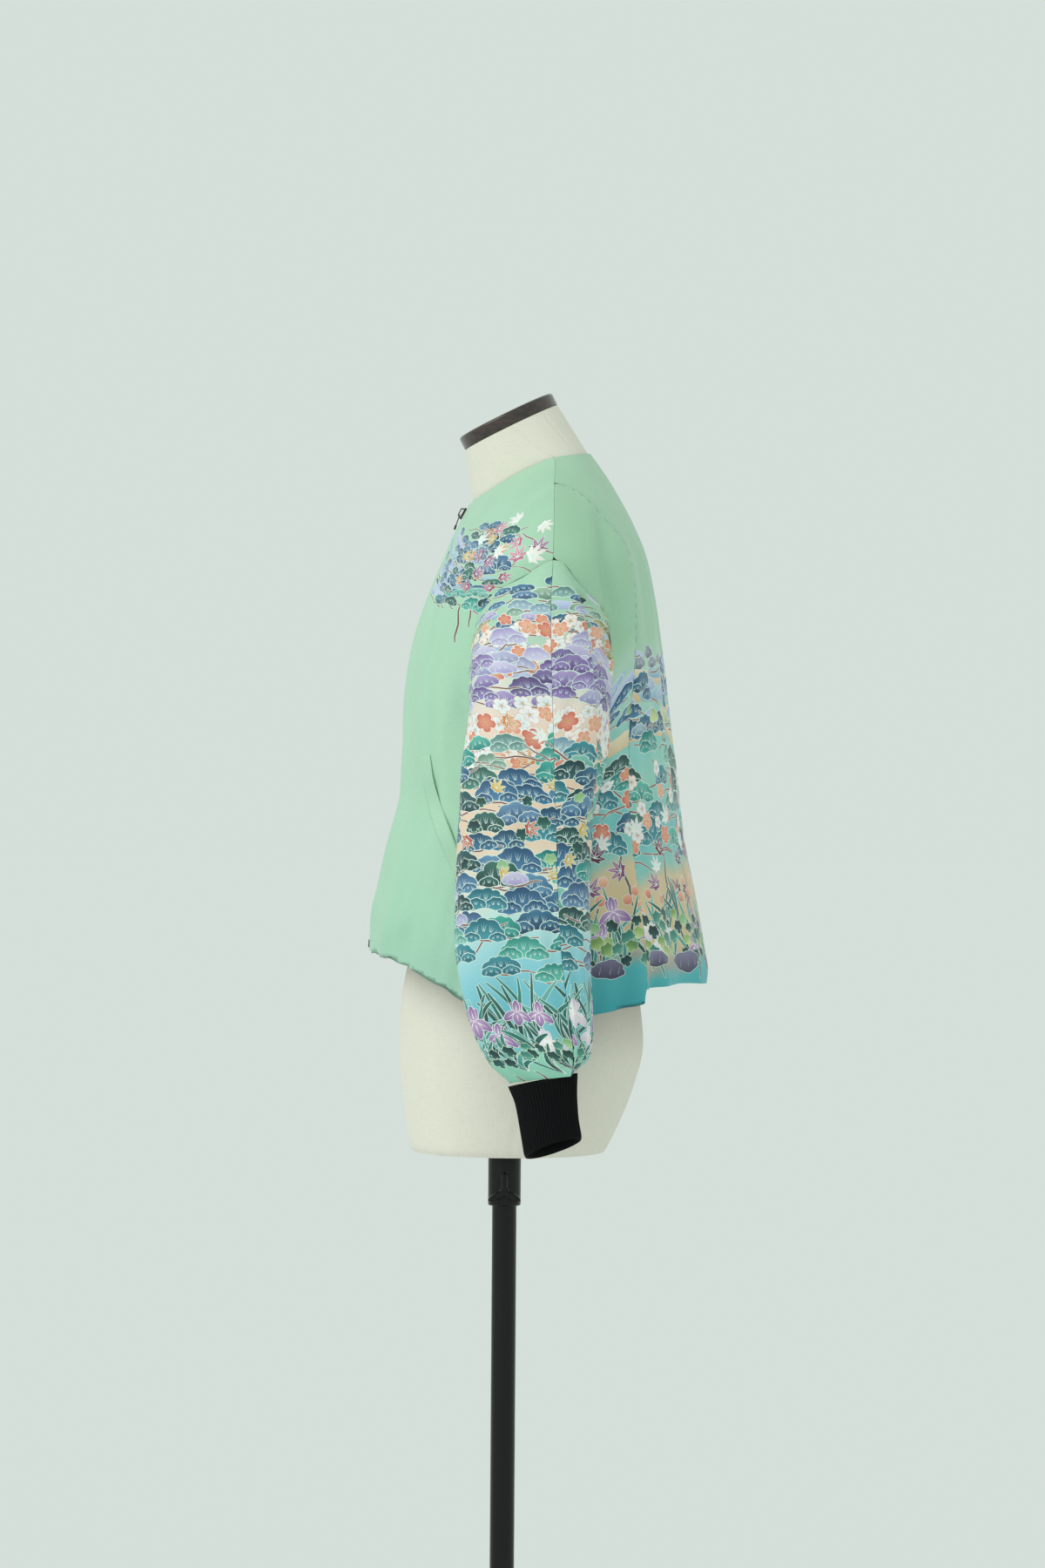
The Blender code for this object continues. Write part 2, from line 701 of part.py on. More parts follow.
def cuff_point(ring, angle, lift):
    """A point of the left cuff, lifted out from its surface."""
    values = {name: column(CUFF_RINGS, CUFF_COLUMNS, name, ring) for name in CUFF_COLUMNS}
    outward, forward = np.cos(angle), np.sin(angle)
    middle_y = (values["front_y"] + values["back_y"]) / 2
    half_y = (values["back_y"] - values["front_y"]) / 2
    grown = lift / MM
    return MM * np.stack(
        [
            values["mid_x"] + (values["half_x"] + grown) * outward,
            middle_y - (half_y + grown) * forward,
            values["mid_z"] + values["outer_rise"] * outward - values["front_drop"] * forward,
        ],
        axis=-1,
    )


def cuff(name):
    angles = np.linspace(0, 2 * math.pi, 2 * RIB_COUNT, endpoint=False)
    raised = np.where(np.arange(2 * RIB_COUNT) % 2, 0, RIB_RAISE)
    outer, inner = [], []
    for ring in CUFF_ROWS:
        outer.append(cuff_point(ring, angles, raised))
        inner.append(cuff_point(ring, angles, -RIB_WALL))
    for layer in (outer, inner):
        layer[0] -= np.array((0, 0, CUFF_DROP))
    return wall_mesh(name, outer, inner, ring=True)


def on_grid(points, row, column):
    """A point between the points of a panel's grid."""
    i, j = min(int(row), len(points) - 2), min(int(column), len(points[0]) - 2)
    s, t = row - i, column - j
    upper = points[i, j] * (1 - t) + points[i, j + 1] * t
    lower = points[i + 1, j] * (1 - t) + points[i + 1, j + 1] * t
    return upper * (1 - s) + lower * s


def grid_place(points, y, z):
    """The grid row and column of a panel's point, seen from the side."""
    row, column = len(points) / 2, len(points[0]) / 2
    small = 0.01
    for _ in range(30):
        here = on_grid(points, row, column)
        by_row = (on_grid(points, row + small, column) - here)[1:] / small
        by_column = (on_grid(points, row, column + small) - here)[1:] / small
        step = np.linalg.solve(np.stack([by_row, by_column], axis=1), np.array((y, z)) - here[1:])
        row = min(max(row + 0.5 * step[0], 0), len(points) - 1.1)
        column = min(max(column + 0.5 * step[1], 0), len(points[0]) - 1.1)
    return row, column


def welt_panel():
    """The slanting welt of the left front pocket, made from the front's own points, moved out."""
    panel, inside = front_grid()
    inner_rows, outer_rows = [], []
    for height, outer_y, opening_y in WELT_LINE:
        inner_rows.append([])
        outer_rows.append([])
        for y in np.linspace(outer_y, opening_y, WELT_COLUMNS + 1):
            place = grid_place(panel, y * MM, height * MM)
            point = on_grid(panel, *place)
            out = unit(point - on_grid(inside, *place))
            inner_rows[-1].append(point + out * WELT_LIFT)
            outer_rows[-1].append(point + out * (WELT_LIFT + WELT_WALL))
    return wall_mesh("pocket_welt_left", outer_rows, inner_rows)


# The zip


def zip_tape():
    """The left tape: a flat strip behind the front's edge, and the raised line of teeth along the centre."""
    half_gap = SEAM_GAP / 2
    under, floor = -(CLOTH + TAPE_GAP), -(CLOTH + TAPE_GAP + TAPE_WALL)
    section = (  # place along X, place along the outward direction
        (half_gap, 0.0),
        (TEETH_WIDTH, 0.0),
        (TEETH_WIDTH, under),
        (TAPE_WIDTH, under),
        (TAPE_WIDTH, floor),
        (half_gap, floor),
    )
    outer, inner = front_grid()
    points, faces = [], []
    for cloth, back in zip(outer, inner):
        out = unit(cloth[0] - back[0])
        across = cloth[1] - cloth[0]
        for x, depth in section:
            points.append(cloth[0] + across * (x - cloth[0][0]) / across[0] + out * depth)
            points[-1][0] = x
    size, rows = len(section), len(outer)
    ends = zip(points[-2 * size : -size], points[-size:])
    points[-size:] = [above * TAPE_END + below * (1 - TAPE_END) for above, below in ends]
    for i in range(rows - 1):
        for j in range(size):
            a, b = i * size + j, i * size + (j + 1) % size
            faces += [(a, b, b + size), (a, b + size, a + size)]
    for first in (0, (rows - 1) * size):
        faces += [(first, first + 1, first + 2), (first, first + 2, first + 5)]
        faces += [(first + 2, first + 3, first + 4), (first + 2, first + 4, first + 5)]
    return mesh_of("zip_tape_left", points, faces)


def front_frame(height):
    """A matrix at this height on the centre front: X across, Y down the front, Z outwards."""
    rows = np.linspace(0, HEM, 2400)
    heights = body(rows, np.zeros_like(rows))[:, 2]
    row = np.interp(-height, -heights, rows)
    point = body(row, 0.0)
    out = normals(body, row, np.asarray(0.0))
    down = unit(body(row + 0.01, 0.0) - point)
    across = np.cross(down, out)
    frame = Matrix((across, down, out)).transposed().to_4x4()
    frame.translation = Vector(point)
    return frame


def box(name, sizes, bevel=0.0):
    """A box from its half width, its start and end along Y and its low and high side, in millimetres."""
    half, start, end, low, high = (size * MM for size in sizes)
    lowest, highest = (-half, start, low), (half, end, high)
    work = bmesh.new()
    bmesh.ops.create_cube(work, size=1)
    for vertex in work.verts:
        vertex.co = [highest[i] if vertex.co[i] > 0 else lowest[i] for i in range(3)]
    if bevel:
        bmesh.ops.bevel(work, geom=work.edges, offset=bevel, segments=2, profile=0.5, affect="EDGES")
    mesh = bpy.data.meshes.new(name)
    work.to_mesh(mesh)
    work.free()
    return mesh


def extruded(name, outline, low, high, along=0):
    """A prism: a closed outline in the other two axes, from low to high along one axis."""
    count = len(outline)
    points = []
    for level in (low, high):
        for a, b in outline:
            point = [a, b]
            point.insert(along, level)
            points.append(point)
    faces = [tuple(reversed(range(count))), tuple(range(count, 2 * count))]
    faces += [(i, (i + 1) % count, count + (i + 1) % count, count + i) for i in range(count)]
    return mesh_of(name, points, faces)


def joined(name, first, *others, operation="UNION"):
    """Joins or cuts meshes with Boolean modifiers and returns the finished mesh."""
    base = bpy.data.objects.new(name, first)
    bpy.context.collection.objects.link(base)
    helpers = []
    for mesh in others:
        helper = bpy.data.objects.new(name + "_helper", mesh)
        bpy.context.collection.objects.link(helper)
        helpers.append(helper)
        modifier = base.modifiers.new("shape", "BOOLEAN")
        modifier.operation = operation
        modifier.solver = "EXACT"
        modifier.object = helper
    bpy.context.view_layer.update()
    graph = bpy.context.evaluated_depsgraph_get()
    result = bpy.data.meshes.new_from_object(base.evaluated_get(graph))
    result.name = name
    for helper in helpers + [base]:
        bpy.data.objects.remove(helper)
    result.materials.clear()
    return result


def zip_slider():
    """A rounded body over the teeth with an arch that carries the pull."""
    plate = box("slider_plate", SLIDER_PLATE, SLIDER_BEVEL)
    outline = [(a * MM, b * MM) for a, b in ARCH_OUTER + ARCH_INNER]
    arch = extruded("slider_arch", outline, -ARCH_HALF, ARCH_HALF)
    return joined("zip_slider", plate, arch)


def zip_pull():
    """The pull: an eye round the slider's arch, a narrow neck and a wider grip, drooping onto the cloth."""
    grip = box("pull_grip", PULL_GRIP, SMALL_BEVEL)
    tab = joined("pull_tab", box("pull_head", PULL_HEAD), box("pull_neck", PULL_NECK), grip)
    pull = joined("zip_pull", tab, box("pull_slot", PULL_SLOT), operation="DIFFERENCE")
    pull.transform(Matrix.Translation((0, *PULL_EYE)) @ Matrix.Rotation(-PULL_DROOP, 4, "X"))
    return pull


# The dress form and its stand


def ring_faces(rings, size):
    faces = []
    for i in range(rings - 1):
        for j in range(size):
            a, b = i * size + j, i * size + (j + 1) % size
            faces.append((a, b, b + size, a + size))
    return faces


def capped(name, rings):
    """A closed solid through rings with the same number of points, with flat ends."""
    size = len(rings[0])
    points = [point for ring in rings for point in ring]
    last = (len(rings) - 1) * size
    faces = ring_faces(len(rings), size)
    faces += [tuple(reversed(range(size))), tuple(range(last, last + size))]
    return mesh_of(name, points, faces)


def cap_ring(depth, radius, sides=ROUND_SIDES):
    """A ring of the tilted neck cap, this deep below its lower face, measured along its axis."""
    points = []
    for angle in np.linspace(0, 2 * math.pi, sides, endpoint=False):
        flat = Vector((radius * math.sin(angle), -radius * math.cos(angle), -depth))
        points.append(np.array(Matrix.Rotation(CAP_TILT, 3, "X") @ flat + CAP_CENTRE))
    return points


def form_ring(index, turns):
    ring = dict(zip(FORM_COLUMNS, FORM_RINGS[index]))
    along, across = superellipse(turns * math.pi, ring["power"])
    share = np.abs(along)
    end_y = np.where(along > 0, ring["front_y"], ring["back_y"])
    end_z = np.where(along > 0, ring["front_z"], ring["back_z"])
    return MM * np.stack(
        [
            ring["half_width"] * across,
            ring["side_y"] + (end_y - ring["side_y"]) * share,
            ring["side_z"] + (end_z - ring["side_z"]) * share**2,
        ],
        axis=-1,
    )


def form_rings():
    turns = np.linspace(0, 2, FORM_SIDES, endpoint=False)
    at_front = np.clip(np.cos(turns * math.pi), 0, 1) ** 8 * FORM_BEHIND_ZIP
    shoulders = []
    for row, below in FORM_SHOULDERS:
        rows = np.full_like(turns, row)
        inset = below * MM + at_front
        shoulders.append(body(rows, turns) - normals(body, rows, turns) * inset[:, None])
    top = np.array(cap_ring(SEAM_GAP, CAP_RADIUS - 0.5 * MM, FORM_SIDES))
    rings = [top]
    for share in (0.5, 0.9):
        middle = top + (shoulders[0] - top) * share
        rings.append(middle)
    rings += shoulders
    rings += [form_ring(index, turns) for index in range(len(FORM_RINGS))]
    rings.append(rings[-1] * np.array((0.97, 0.97, 0)) + np.array((0, 0, FORM_BOTTOM)))
    return rings


def cylinder(name, radius, low, high, sides=ROUND_SIDES):
    work = bmesh.new()
    bmesh.ops.create_cone(
        work, cap_ends=True, segments=sides, radius1=radius, radius2=radius, depth=high - low,
        matrix=Matrix.Translation((0, 0, (low + high) / 2)),
    )
    mesh = bpy.data.meshes.new(name)
    work.to_mesh(mesh)
    work.free()
    return mesh


def round_rings(profile, sides):
    """Rings of points about the Z axis, one for each radius and height."""
    angles = np.linspace(0, 2 * math.pi, sides, endpoint=False)
    rings = []
    for radius, height in profile:
        rings.append([np.array((radius * math.cos(a), radius * math.sin(a), height)) for a in angles])
    return rings


def turned(name, profile, sides=ROUND_SIDES):
    """A tube turned about Z from the closed outline of its wall."""
    points = [point for ring in round_rings(profile, sides) for point in ring]
    faces = ring_faces(len(profile), sides)
    last = (len(profile) - 1) * sides
    faces += [(last + j, last + (j + 1) % sides, (j + 1) % sides, j) for j in range(sides)]
    return mesh_of(name, points, faces)


def form_torso():
    solid = capped("form_torso", form_rings())
    bore = cylinder("form_bore", BORE, FORM_BOTTOM - CUT, BORE_TOP)
    return joined("form_torso", solid, bore, operation="DIFFERENCE")


def neck_cap():
    rings = [cap_ring(-height * MM, CAP_RADIUS - inset * MM) for height, inset in CAP_PROFILE]
    return capped("neck_cap", rings)


def bottom_plate():
    low, high = COLLAR_TOP + SEAM_GAP, FORM_BOTTOM - SEAM_GAP
    return turned("bottom_plate", ((BORE, low), (PLATE_RADIUS, low), (PLATE_RADIUS, high), (BORE, high)))


def clamp_collar():
    """The tube below the form, with a threaded hole for the clamp screw."""
    tube = turned(
        "collar_tube",
        (
            (BORE, COLLAR_BOTTOM),
            (COLLAR_RADIUS - COLLAR_RIM, COLLAR_BOTTOM),
            (COLLAR_RADIUS, COLLAR_BOTTOM + COLLAR_RIM),
            (COLLAR_RADIUS, COLLAR_TOP),
            (BORE, COLLAR_TOP),
        ),
    )
    drill = cylinder("collar_drill", SCREW_RADIUS + RUNNING_GAP, 0, COLLAR_RADIUS + CUT, SCREW_SIDES)
    drill.transform(Matrix.Translation((0, 0, KNOB_HEIGHT)) @ Matrix.Rotation(math.pi / 2, 4, "Y"))
    return joined("clamp_collar", tube, drill, operation="DIFFERENCE")


def clamp_knob():
    """A three-armed knob and its screw, which ends just short of the pole."""
    outline = []
    for angle in np.linspace(0, 2 * math.pi, ARM_POINTS * KNOB_ARMS, endpoint=False):
        lobe = ((1 + math.cos(KNOB_ARMS * angle)) / 2) ** 4
        reach = KNOB_HUB + (KNOB_REACH - KNOB_HUB) * lobe
        outline.append((reach * math.cos(angle), reach * math.sin(angle)))
    inner_face, outer_face = KNOB_FACES
    grip = extruded("knob_grip", outline, inner_face, outer_face)
    middle = (inner_face + outer_face) / 2
    shaft = cylinder("knob_shaft", SCREW_RADIUS, BORE, middle, SCREW_SIDES)
    neck = cylinder("knob_neck", KNOB_NECK, COLLAR_RADIUS + 2 * RUNNING_GAP, middle, SCREW_SIDES)
    for mesh in (shaft, neck):
        mesh.transform(Matrix.Rotation(math.pi / 2, 4, "Y"))
    knob = joined("clamp_knob", grip, neck, shaft)
    knob.transform(Matrix.Translation((0, 0, KNOB_HEIGHT)))
    return knob


def pole():
    bottom, inner = SOCKET_FLOOR + RUNNING_GAP, POLE_RADIUS - POLE_RIM
    lower, upper = bottom + POLE_RIM, POLE_TOP - POLE_RIM
    profile = ((inner, bottom), (POLE_RADIUS, lower), (POLE_RADIUS, upper), (inner, POLE_TOP))
    return capped("pole", round_rings(profile, ROUND_SIDES))


def stand_base():
    """A round cast base with a socket for the pole."""
    profile = [(radius * MM, height * MM) for radius, height in BASE_PROFILE]
    solid = capped("stand_base", round_rings(profile, BASE_SIDES))
    socket = cylinder("base_socket", BORE, SOCKET_FLOOR, profile[-1][1] + CUT)
    return joined("stand_base", solid, socket, operation="DIFFERENCE")


def add_pair(name, mesh, finish, parent):
    """Adds name_left and its mirrored name_right."""
    other = mirrored(mesh, name + "_right")
    add(name + "_left", mesh, finish, parent)
    add(name + "_right", other, finish, parent)


def add_jacket(held):
    silk = "celadon kimono silk"
    add_pair("front", front_panel(), silk, held)
    add_pair("back_side", back_side_panel(), silk, held)
    add("back_centre", back_panel(), silk, held)
    add_pair("sleeve_front", sleeve_panel("sleeve_front_left", True), silk, held)
    add_pair("sleeve_back", sleeve_panel("sleeve_back_left", False), silk, held)
    add_pair("cuff", cuff("cuff_left"), "black rib knit", held)
    add_pair("pocket_welt", welt_panel(), silk, held)
    add_pair("zip_tape", zip_tape(), "black zip tape", held)
    frame = front_frame(SLIDER_HEIGHT)
    slider, pull, retainer = zip_slider(), zip_pull(), box("zip_box", RETAINER_BOX, SMALL_BEVEL)
    slider.transform(frame)
    pull.transform(frame)
    retainer.transform(front_frame(BOX_HEIGHT))
    add("zip_slider", slider, "black coated metal", held)
    add("zip_pull", pull, "black coated metal", held, frame @ Vector((0, *PULL_EYE)))
    add("zip_box", retainer, "black coated metal", held)


def add_form(held):
    add("form_torso", form_torso(), "cream linen", held, sharp=50)
    add("neck_cap", neck_cap(), "dark stained wood", held)
    add("bottom_plate", bottom_plate(), "black painted steel", held)
    add("clamp_collar", clamp_collar(), "black painted steel", held)
    add("clamp_knob", clamp_knob(), "black painted steel", held, (0, 0, KNOB_HEIGHT))


def main():
    for obj in list(bpy.data.objects):
        bpy.data.objects.remove(obj)
    add("stand_base", stand_base(), "black painted steel")
    swivel = empty("swivel", (0, 0, SOCKET_FLOOR))
    add("pole", pole(), "black painted steel", swivel)
    height = empty("height", (0, 0, COLLAR_TOP), swivel)
    add_form(height)
    add_jacket(height)


main()
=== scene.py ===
"""Looks of a kimono-silk blouson worn by a dress form on its pole stand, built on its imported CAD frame.

Metres, +Z up, the jacket's front faces -Y and the wearer's left side faces +X. Every piece of cloth is read
from the same surface that the CAD panels come from. The silk's pattern is drawn as outlines on each panel's
flat cut and cut into the panel's own mesh, so it bends with the cloth. Its motifs are ordinary ones in a
layout of its own.
"""

import math
import random

import bmesh
import bpy
import numpy as np
from bpy.props import FloatProperty, FloatVectorProperty, IntProperty, PointerProperty
from bpy.types import Operator, Panel, PropertyGroup
from mathutils import Matrix, Vector
from mathutils.bvhtree import BVHTree
from mathutils.geometry import delaunay_2d_cdt


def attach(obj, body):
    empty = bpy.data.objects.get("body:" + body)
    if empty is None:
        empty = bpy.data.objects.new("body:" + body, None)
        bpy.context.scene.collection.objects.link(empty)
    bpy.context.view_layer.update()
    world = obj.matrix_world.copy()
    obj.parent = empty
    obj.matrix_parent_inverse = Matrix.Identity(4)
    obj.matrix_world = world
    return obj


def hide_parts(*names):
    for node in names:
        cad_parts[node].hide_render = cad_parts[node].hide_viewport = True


bl_info = {
    "name": "Kimono jacket",
    "version": (1, 0, 0),
    "blender": (4, 5, 0),
    "location": "3D View > Sidebar > Jacket",
    "description": "Builds a kimono-silk jacket, its dress form and its stand on a packed CAD frame",
    "category": "Add Mesh",
}

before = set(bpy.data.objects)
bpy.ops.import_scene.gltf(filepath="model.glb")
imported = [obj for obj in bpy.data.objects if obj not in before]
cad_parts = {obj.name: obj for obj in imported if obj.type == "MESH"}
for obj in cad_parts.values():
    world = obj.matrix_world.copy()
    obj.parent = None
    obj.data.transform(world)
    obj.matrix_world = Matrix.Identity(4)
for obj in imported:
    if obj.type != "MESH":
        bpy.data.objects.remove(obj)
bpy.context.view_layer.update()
MM = 0.001

# Cloth, zip, form and stand: the CAD's own sizes
CLOTH = 1.5 * MM
SEAM_GAP = 0.3 * MM
FRONT_EDGE = 3.0 * MM
TAPE_GAP = 0.5 * MM
TAPE_END = 0.1  # the tape ends this share of a row above the hem
ZIP_PITCH = 1.6 * MM
ARMHOLE_STEPS = 48  # steps of the curve beside the armhole
CAP_RADIUS = 53.5 * MM
CAP_TILT = math.radians(26.4)
CAP_CENTRE = Vector((0, 1.5 * MM, 1530 * MM))
FORM_BOTTOM = 780 * MM
FORM_SEAMS = np.array((0, 0.27, 0.5, 0.73, 1, 1.27, 1.5, 1.73))  # turns of the cover's seams
BORE_RADIUS = 13 * MM
BORE_TOP = 1400 * MM
COLLAR_RADIUS = 17 * MM
KNOB_HEIGHT = 738 * MM
KNOB_REACH = 19.5 * MM
KNOB_HUB = 5.5 * MM
KNOB_NECK = 6 * MM
KNOB_FACES = (21 * MM, 30 * MM)
KNOB_ARMS = 3
SCREW_RADIUS = 3 * MM
# Outlines of turned steel and iron, in millimetres: radius, height
POLE_OUTLINE = ((0.5, 8.3), (11.7, 8.3), (12.7, 9.3), (12.7, 1169), (11.7, 1170), (0.5, 1170))
COLLAR_OUTLINE = ((13, 722), (15.8, 722), (17, 723.2), (17, 773.2), (13, 773.2))
PLATE_OUTLINE = ((13, 773.5), (34, 773.5), (34, 779.7), (13, 779.7))
BASE_OUTLINE = (
    (2, 0), (168, 0), (170, 2), (170, 6), (167, 9), (62, 14), (38, 18), (32, 25), (28, 45),
    (24, 48), (13, 48), (13, 8), (2, 8),
)
# The garment's surface: the same tables and curves that its CAD panels come from
HALF_GIRTH = 600 * MM  # from centre front to centre back, for the width of a fold
# The centre lines seen from the side, in millimetres: height, then place along Y.
FRONT_LINE = (
    (985, -141), (1024, -139), (1053, -132), (1091, -124), (1129, -114), (1148, -110), (1193, -109),
    (1232, -108.5), (1271, -105), (1311, -97.5), (1350, -85), (1395, -67), (1419, -57), (1450, -41),
)
BACK_LINE = (
    (952, 207), (969, 209), (984, 207), (1043, 196), (1108, 183), (1169, 176), (1222, 168),
    (1284, 161), (1351, 152), (1395, 143), (1432, 128), (1456, 115), (1476, 103), (1503, 84),
)

# Rings round the body from the neckline to the hem, in millimetres. A ring passes the centre front, the side
# and the centre back at three heights; power is its squareness, and seam_x places the side-back seam.
RING_COLUMNS = ("half_width", "side_z", "side_y", "front_z", "back_z", "power", "seam_x")
BODY_RINGS = (
    (72, 1497, 47, 1450, 1503, 2.0, 72),
    (110, 1484, 47, 1437, 1480, 2.1, 110),
    (150, 1468, 46, 1420, 1452, 2.2, 150),
    (190, 1449, 46, 1398, 1424, 2.25, 166),
    (235, 1387, 45, 1362, 1382, 2.35, 170),
    (227, 1330, 42, 1322, 1332, 2.4, 171),
    (217, 1270, 38, 1268, 1275, 2.4, 171),
    (209, 1210, 34, 1212, 1217, 2.4, 171),
    (205, 1150, 30, 1158, 1158, 2.4, 172),
    (207, 1100, 30, 1113, 1106, 2.4, 174),
    (213, 1040, 31, 1062, 1050, 2.4, 181),
    (220, 975, 32, 1015, 990, 2.4, 189), (226, 925, 32, 986, 950, 2.4, 196),
)
SHOULDER_TIP, UNDERARM, HEM = 4, 8, 12  # rows of BODY_RINGS
BACK_HEM = (11.66, 11.9, 11.97)  # the row where the back panel ends at its left seam, centre and right seam
SEAM_START = 2  # the side-back seam leaves the shoulder seam here

# The armhole: share of the way down from the shoulder tip, then its reach to the front and to the back.
ARMHOLE = (
    (0.0, 0, 0), (0.013, 8, 10), (0.05, 24, 18), (0.08, 41, 23), (0.118, 57, 31), (0.16, 66, 41),
    (0.211, 71, 57), (0.26, 74, 65), (0.40, 77, 69), (0.55, 76, 69), (0.70, 69, 62), (0.85, 52, 46),
    (0.95, 29, 26), (1.0, 0, 0),
)

# The pocket welt seen from the side, in millimetres: height, then the Y of its outer and its opening edge.
WELT_LINE = (
    (1190, -87.5, -77.5), (1168, -85.5, -74.5), (1145, -81, -68), (1120, -74, -58.5),
    (1096, -65, -49), (1074, -54, -40), (1060, -46, -33),
)

# Soft folds: a line from one row and turn to another (turn 0 at the centre front, 0.5 at the side, 1 at the
# centre back), the half width and the height in millimetres; a trough has a negative height.
BODY_FOLDS = (
    (2.7, 0.665, 6.2, 0.690, 15, -9),  # the deep fold behind the armhole
    (2.6, 0.735, 7.5, 0.760, 22, 5),
    (9.0, 0.690, 15, 0.692, 14, 9),  # the side panel's rear edge at the hem
    (10.4, 0.722, 15, 0.718, 10, -11),  # the back panel falls in behind it
    (9.2, 0.728, 15, 0.750, 12, 6), (9.3, 0.790, 15, 0.800, 22, -5), (9.5, 0.870, 15, 0.880, 24, 5),
    (7.6, 0.200, 14, 0.190, 18, 6),  # the front's long ridge
    (10.2, 0.060, 13.5, 0.150, 14, -5),  # the front hem's slanting crease
    (10.6, 0.330, 15, 0.345, 26, -5), (8.8, 0.430, 14, 0.425, 30, 6),
)

# Rings down the left sleeve, in millimetres, after the armhole itself. A ring runs from an outer point to an
# inner one, and reaches front_y and back_y; outer_y and inner_y place the two long seams.
SLEEVE_COLUMNS = (
    "outer_x", "outer_z", "inner_x", "inner_z", "front_y", "back_y", "outer_y", "inner_y",
    "front_drop", "power",
)
SLEEVE_RINGS = (
    (262, 1340, 208.5, 1142, -38, 105, 43, 31, 0, 2.3),
    (285, 1280, 213, 1133, -41, 102, 44, 30, 0, 2.4),
    (300, 1220, 219, 1122, -44, 95, 46, 28, 0, 2.4),
    (309, 1160, 226, 1108, -46, 88, 48, 26, 0, 2.4),
    (314, 1105, 234, 1085, -48, 85, 50, 23, 0, 2.4),
    (318, 1050, 242, 1048, -49, 84, 52, 20, 0, 2.4),
    (319, 1000, 247, 1000, -50, 84, 55, 18, 0, 2.4),
    (319, 955, 250, 955, -44, 85, 60, 20, 2, 2.3),
    (319, 918, 252, 916, -32, 85, 66, 26, 4, 2.2),
    (319, 890, 257, 887, -15, 83, 68, 32, 6, 2.1),
    (318, 872, 262, 869, 4.5, 72, 66, 38, 7, 2.0),
)
ARM_RINGS = len(SLEEVE_RINGS)
SLEEVE_BACK_FOLD = (  # ring, how far round from the outer seam the fold lies, in quarters, and its depth
    (0.3, 0.30, 3), (1.0, 0.36, 11), (2.0, 0.50, 14), (3.0, 0.64, 13), (4.0, 0.80, 7),
    (5.0, 0.90, 0),
)
GATHERS = 12  # waves round the sleeve above its cuff
GATHER_HEIGHT = 3.2 * MM
GATHER_FROM = 6.5  # the ring where they begin

# The rib cuff, top to bottom, in millimetres: its middle and half width along X, its reach along Y, its
# height, how far its outer side lies above that and its front below it.
CUFF_COLUMNS = ("mid_x", "half_x", "front_y", "back_y", "mid_z", "outer_rise", "front_drop")
CUFF_RINGS = (
    (290, 28, 4.5, 72, 868.6, 0.8, 7), (291, 26, 12, 71, 848, 3, 6),
    (293, 26, 17, 72.5, 825, 5, 7.5), (296, 26, 21, 76.7, 799, 6.5, 9),
)

# The dress form below the shoulders, in millimetres.
FORM_COLUMNS = ("half_width", "side_z", "side_y", "front_z", "front_y", "back_z", "back_y", "power")
FORM_RINGS = (
    (187, 1432, 46, 1368, -72, 1396, 137, 2.3),
    (180, 1385, 45, 1330, -85, 1355, 140, 2.5),
    (170, 1325, 42, 1290, -95, 1305, 139, 2.6),
    (160, 1270, 36, 1245, -100, 1255, 133, 2.4),
    (146, 1215, 30, 1200, -97, 1205, 123, 2.2),
    (130, 1160, 24, 1150, -88, 1155, 112, 2.1),
    (120, 1100, 20, 1098, -80, 1100, 104, 2.05),
    (131, 1045, 19, 1045, -85, 1045, 109, 2.05),
    (151, 990, 17, 990, -98, 990, 124, 2.1),
    (165, 935, 16, 935, -108, 935, 139, 2.15),
    (170, 890, 16, 890, -110, 890, 143, 2.2),
    (168, 850, 16, 850, -107, 850, 134, 2.2),
    (162, 815, 13, 815, -103, 815, 121, 2.2),
    (153, 786, 6, 786, -99, 786, 107, 2.2),
)
FORM_SHOULDERS = (  # row of the body, how far the form lies below the cloth's outer side in millimetres
    (0, 2.6), (0.5, 2.9), (1, 3.2), (1.5, 3.7), (2, 4.0), (2.5, 4.2), (2.9, 4.5),
)
FORM_BEHIND_ZIP = 2.0 * MM  # the form is this much flatter at the front, where the zip's tape lies

# Smooth curves and tables


def tangents(slope):
    """The slopes at a curve's points from those between them, level where the curve turns back."""
    before, after = slope[:-1], slope[1:]
    same = before * after > 0
    middle = np.where(same, 2 * before * after / np.where(same, before + after, 1), 0)
    return np.concatenate([slope[:1], middle, slope[-1:]])


def eased(t, width, first, first_slope, last, last_slope):
    """A cubic between two values with their slopes, at the share t of this width."""
    start = (1 + 2 * t) * (1 - t) ** 2 * first + t * (1 - t) ** 2 * width * first_slope
    end = t * t * (3 - 2 * t) * last + t * t * (t - 1) * width * last_slope
    return start + end


def smooth(places, values, at):
    """A smooth curve through values at places, which never overshoots them. values may hold whole rows."""
    places, values, at = (np.asarray(item, float) for item in (places, values, at))
    step = np.diff(places).reshape((-1,) + (1,) * (values.ndim - 1))
    slopes = tangents(np.diff(values, axis=0) / step)
    at = np.clip(at, places[0], places[-1])
    i = np.clip(np.searchsorted(places, at, side="right") - 1, 0, len(places) - 2)
    extra = (1,) * (values.ndim - 1)
    width = step[i].reshape(at.shape + extra)
    t = (at - places[i]).reshape(at.shape + extra) / width
    return eased(t, width, values[i], slopes[i], values[i + 1], slopes[i + 1])


def ramp(x):
    """0 below 0, 1 above 1, and smooth between."""
    x = np.clip(x, 0, 1)
    return x * x * (3 - 2 * x)


def column(table, columns, name, at):
    """One column of a table as a smooth curve over its rows."""
    return smooth(range(len(table)), [row[columns.index(name)] for row in table], at)


def superellipse(angle, power):
    """The point at this angle from the first axis, as shares of the two half axes."""
    along, across = np.cos(angle), np.sin(angle)
    reach = (np.abs(along) ** power + np.abs(across) ** power) ** (-1 / power)
    return along * reach, across * reach


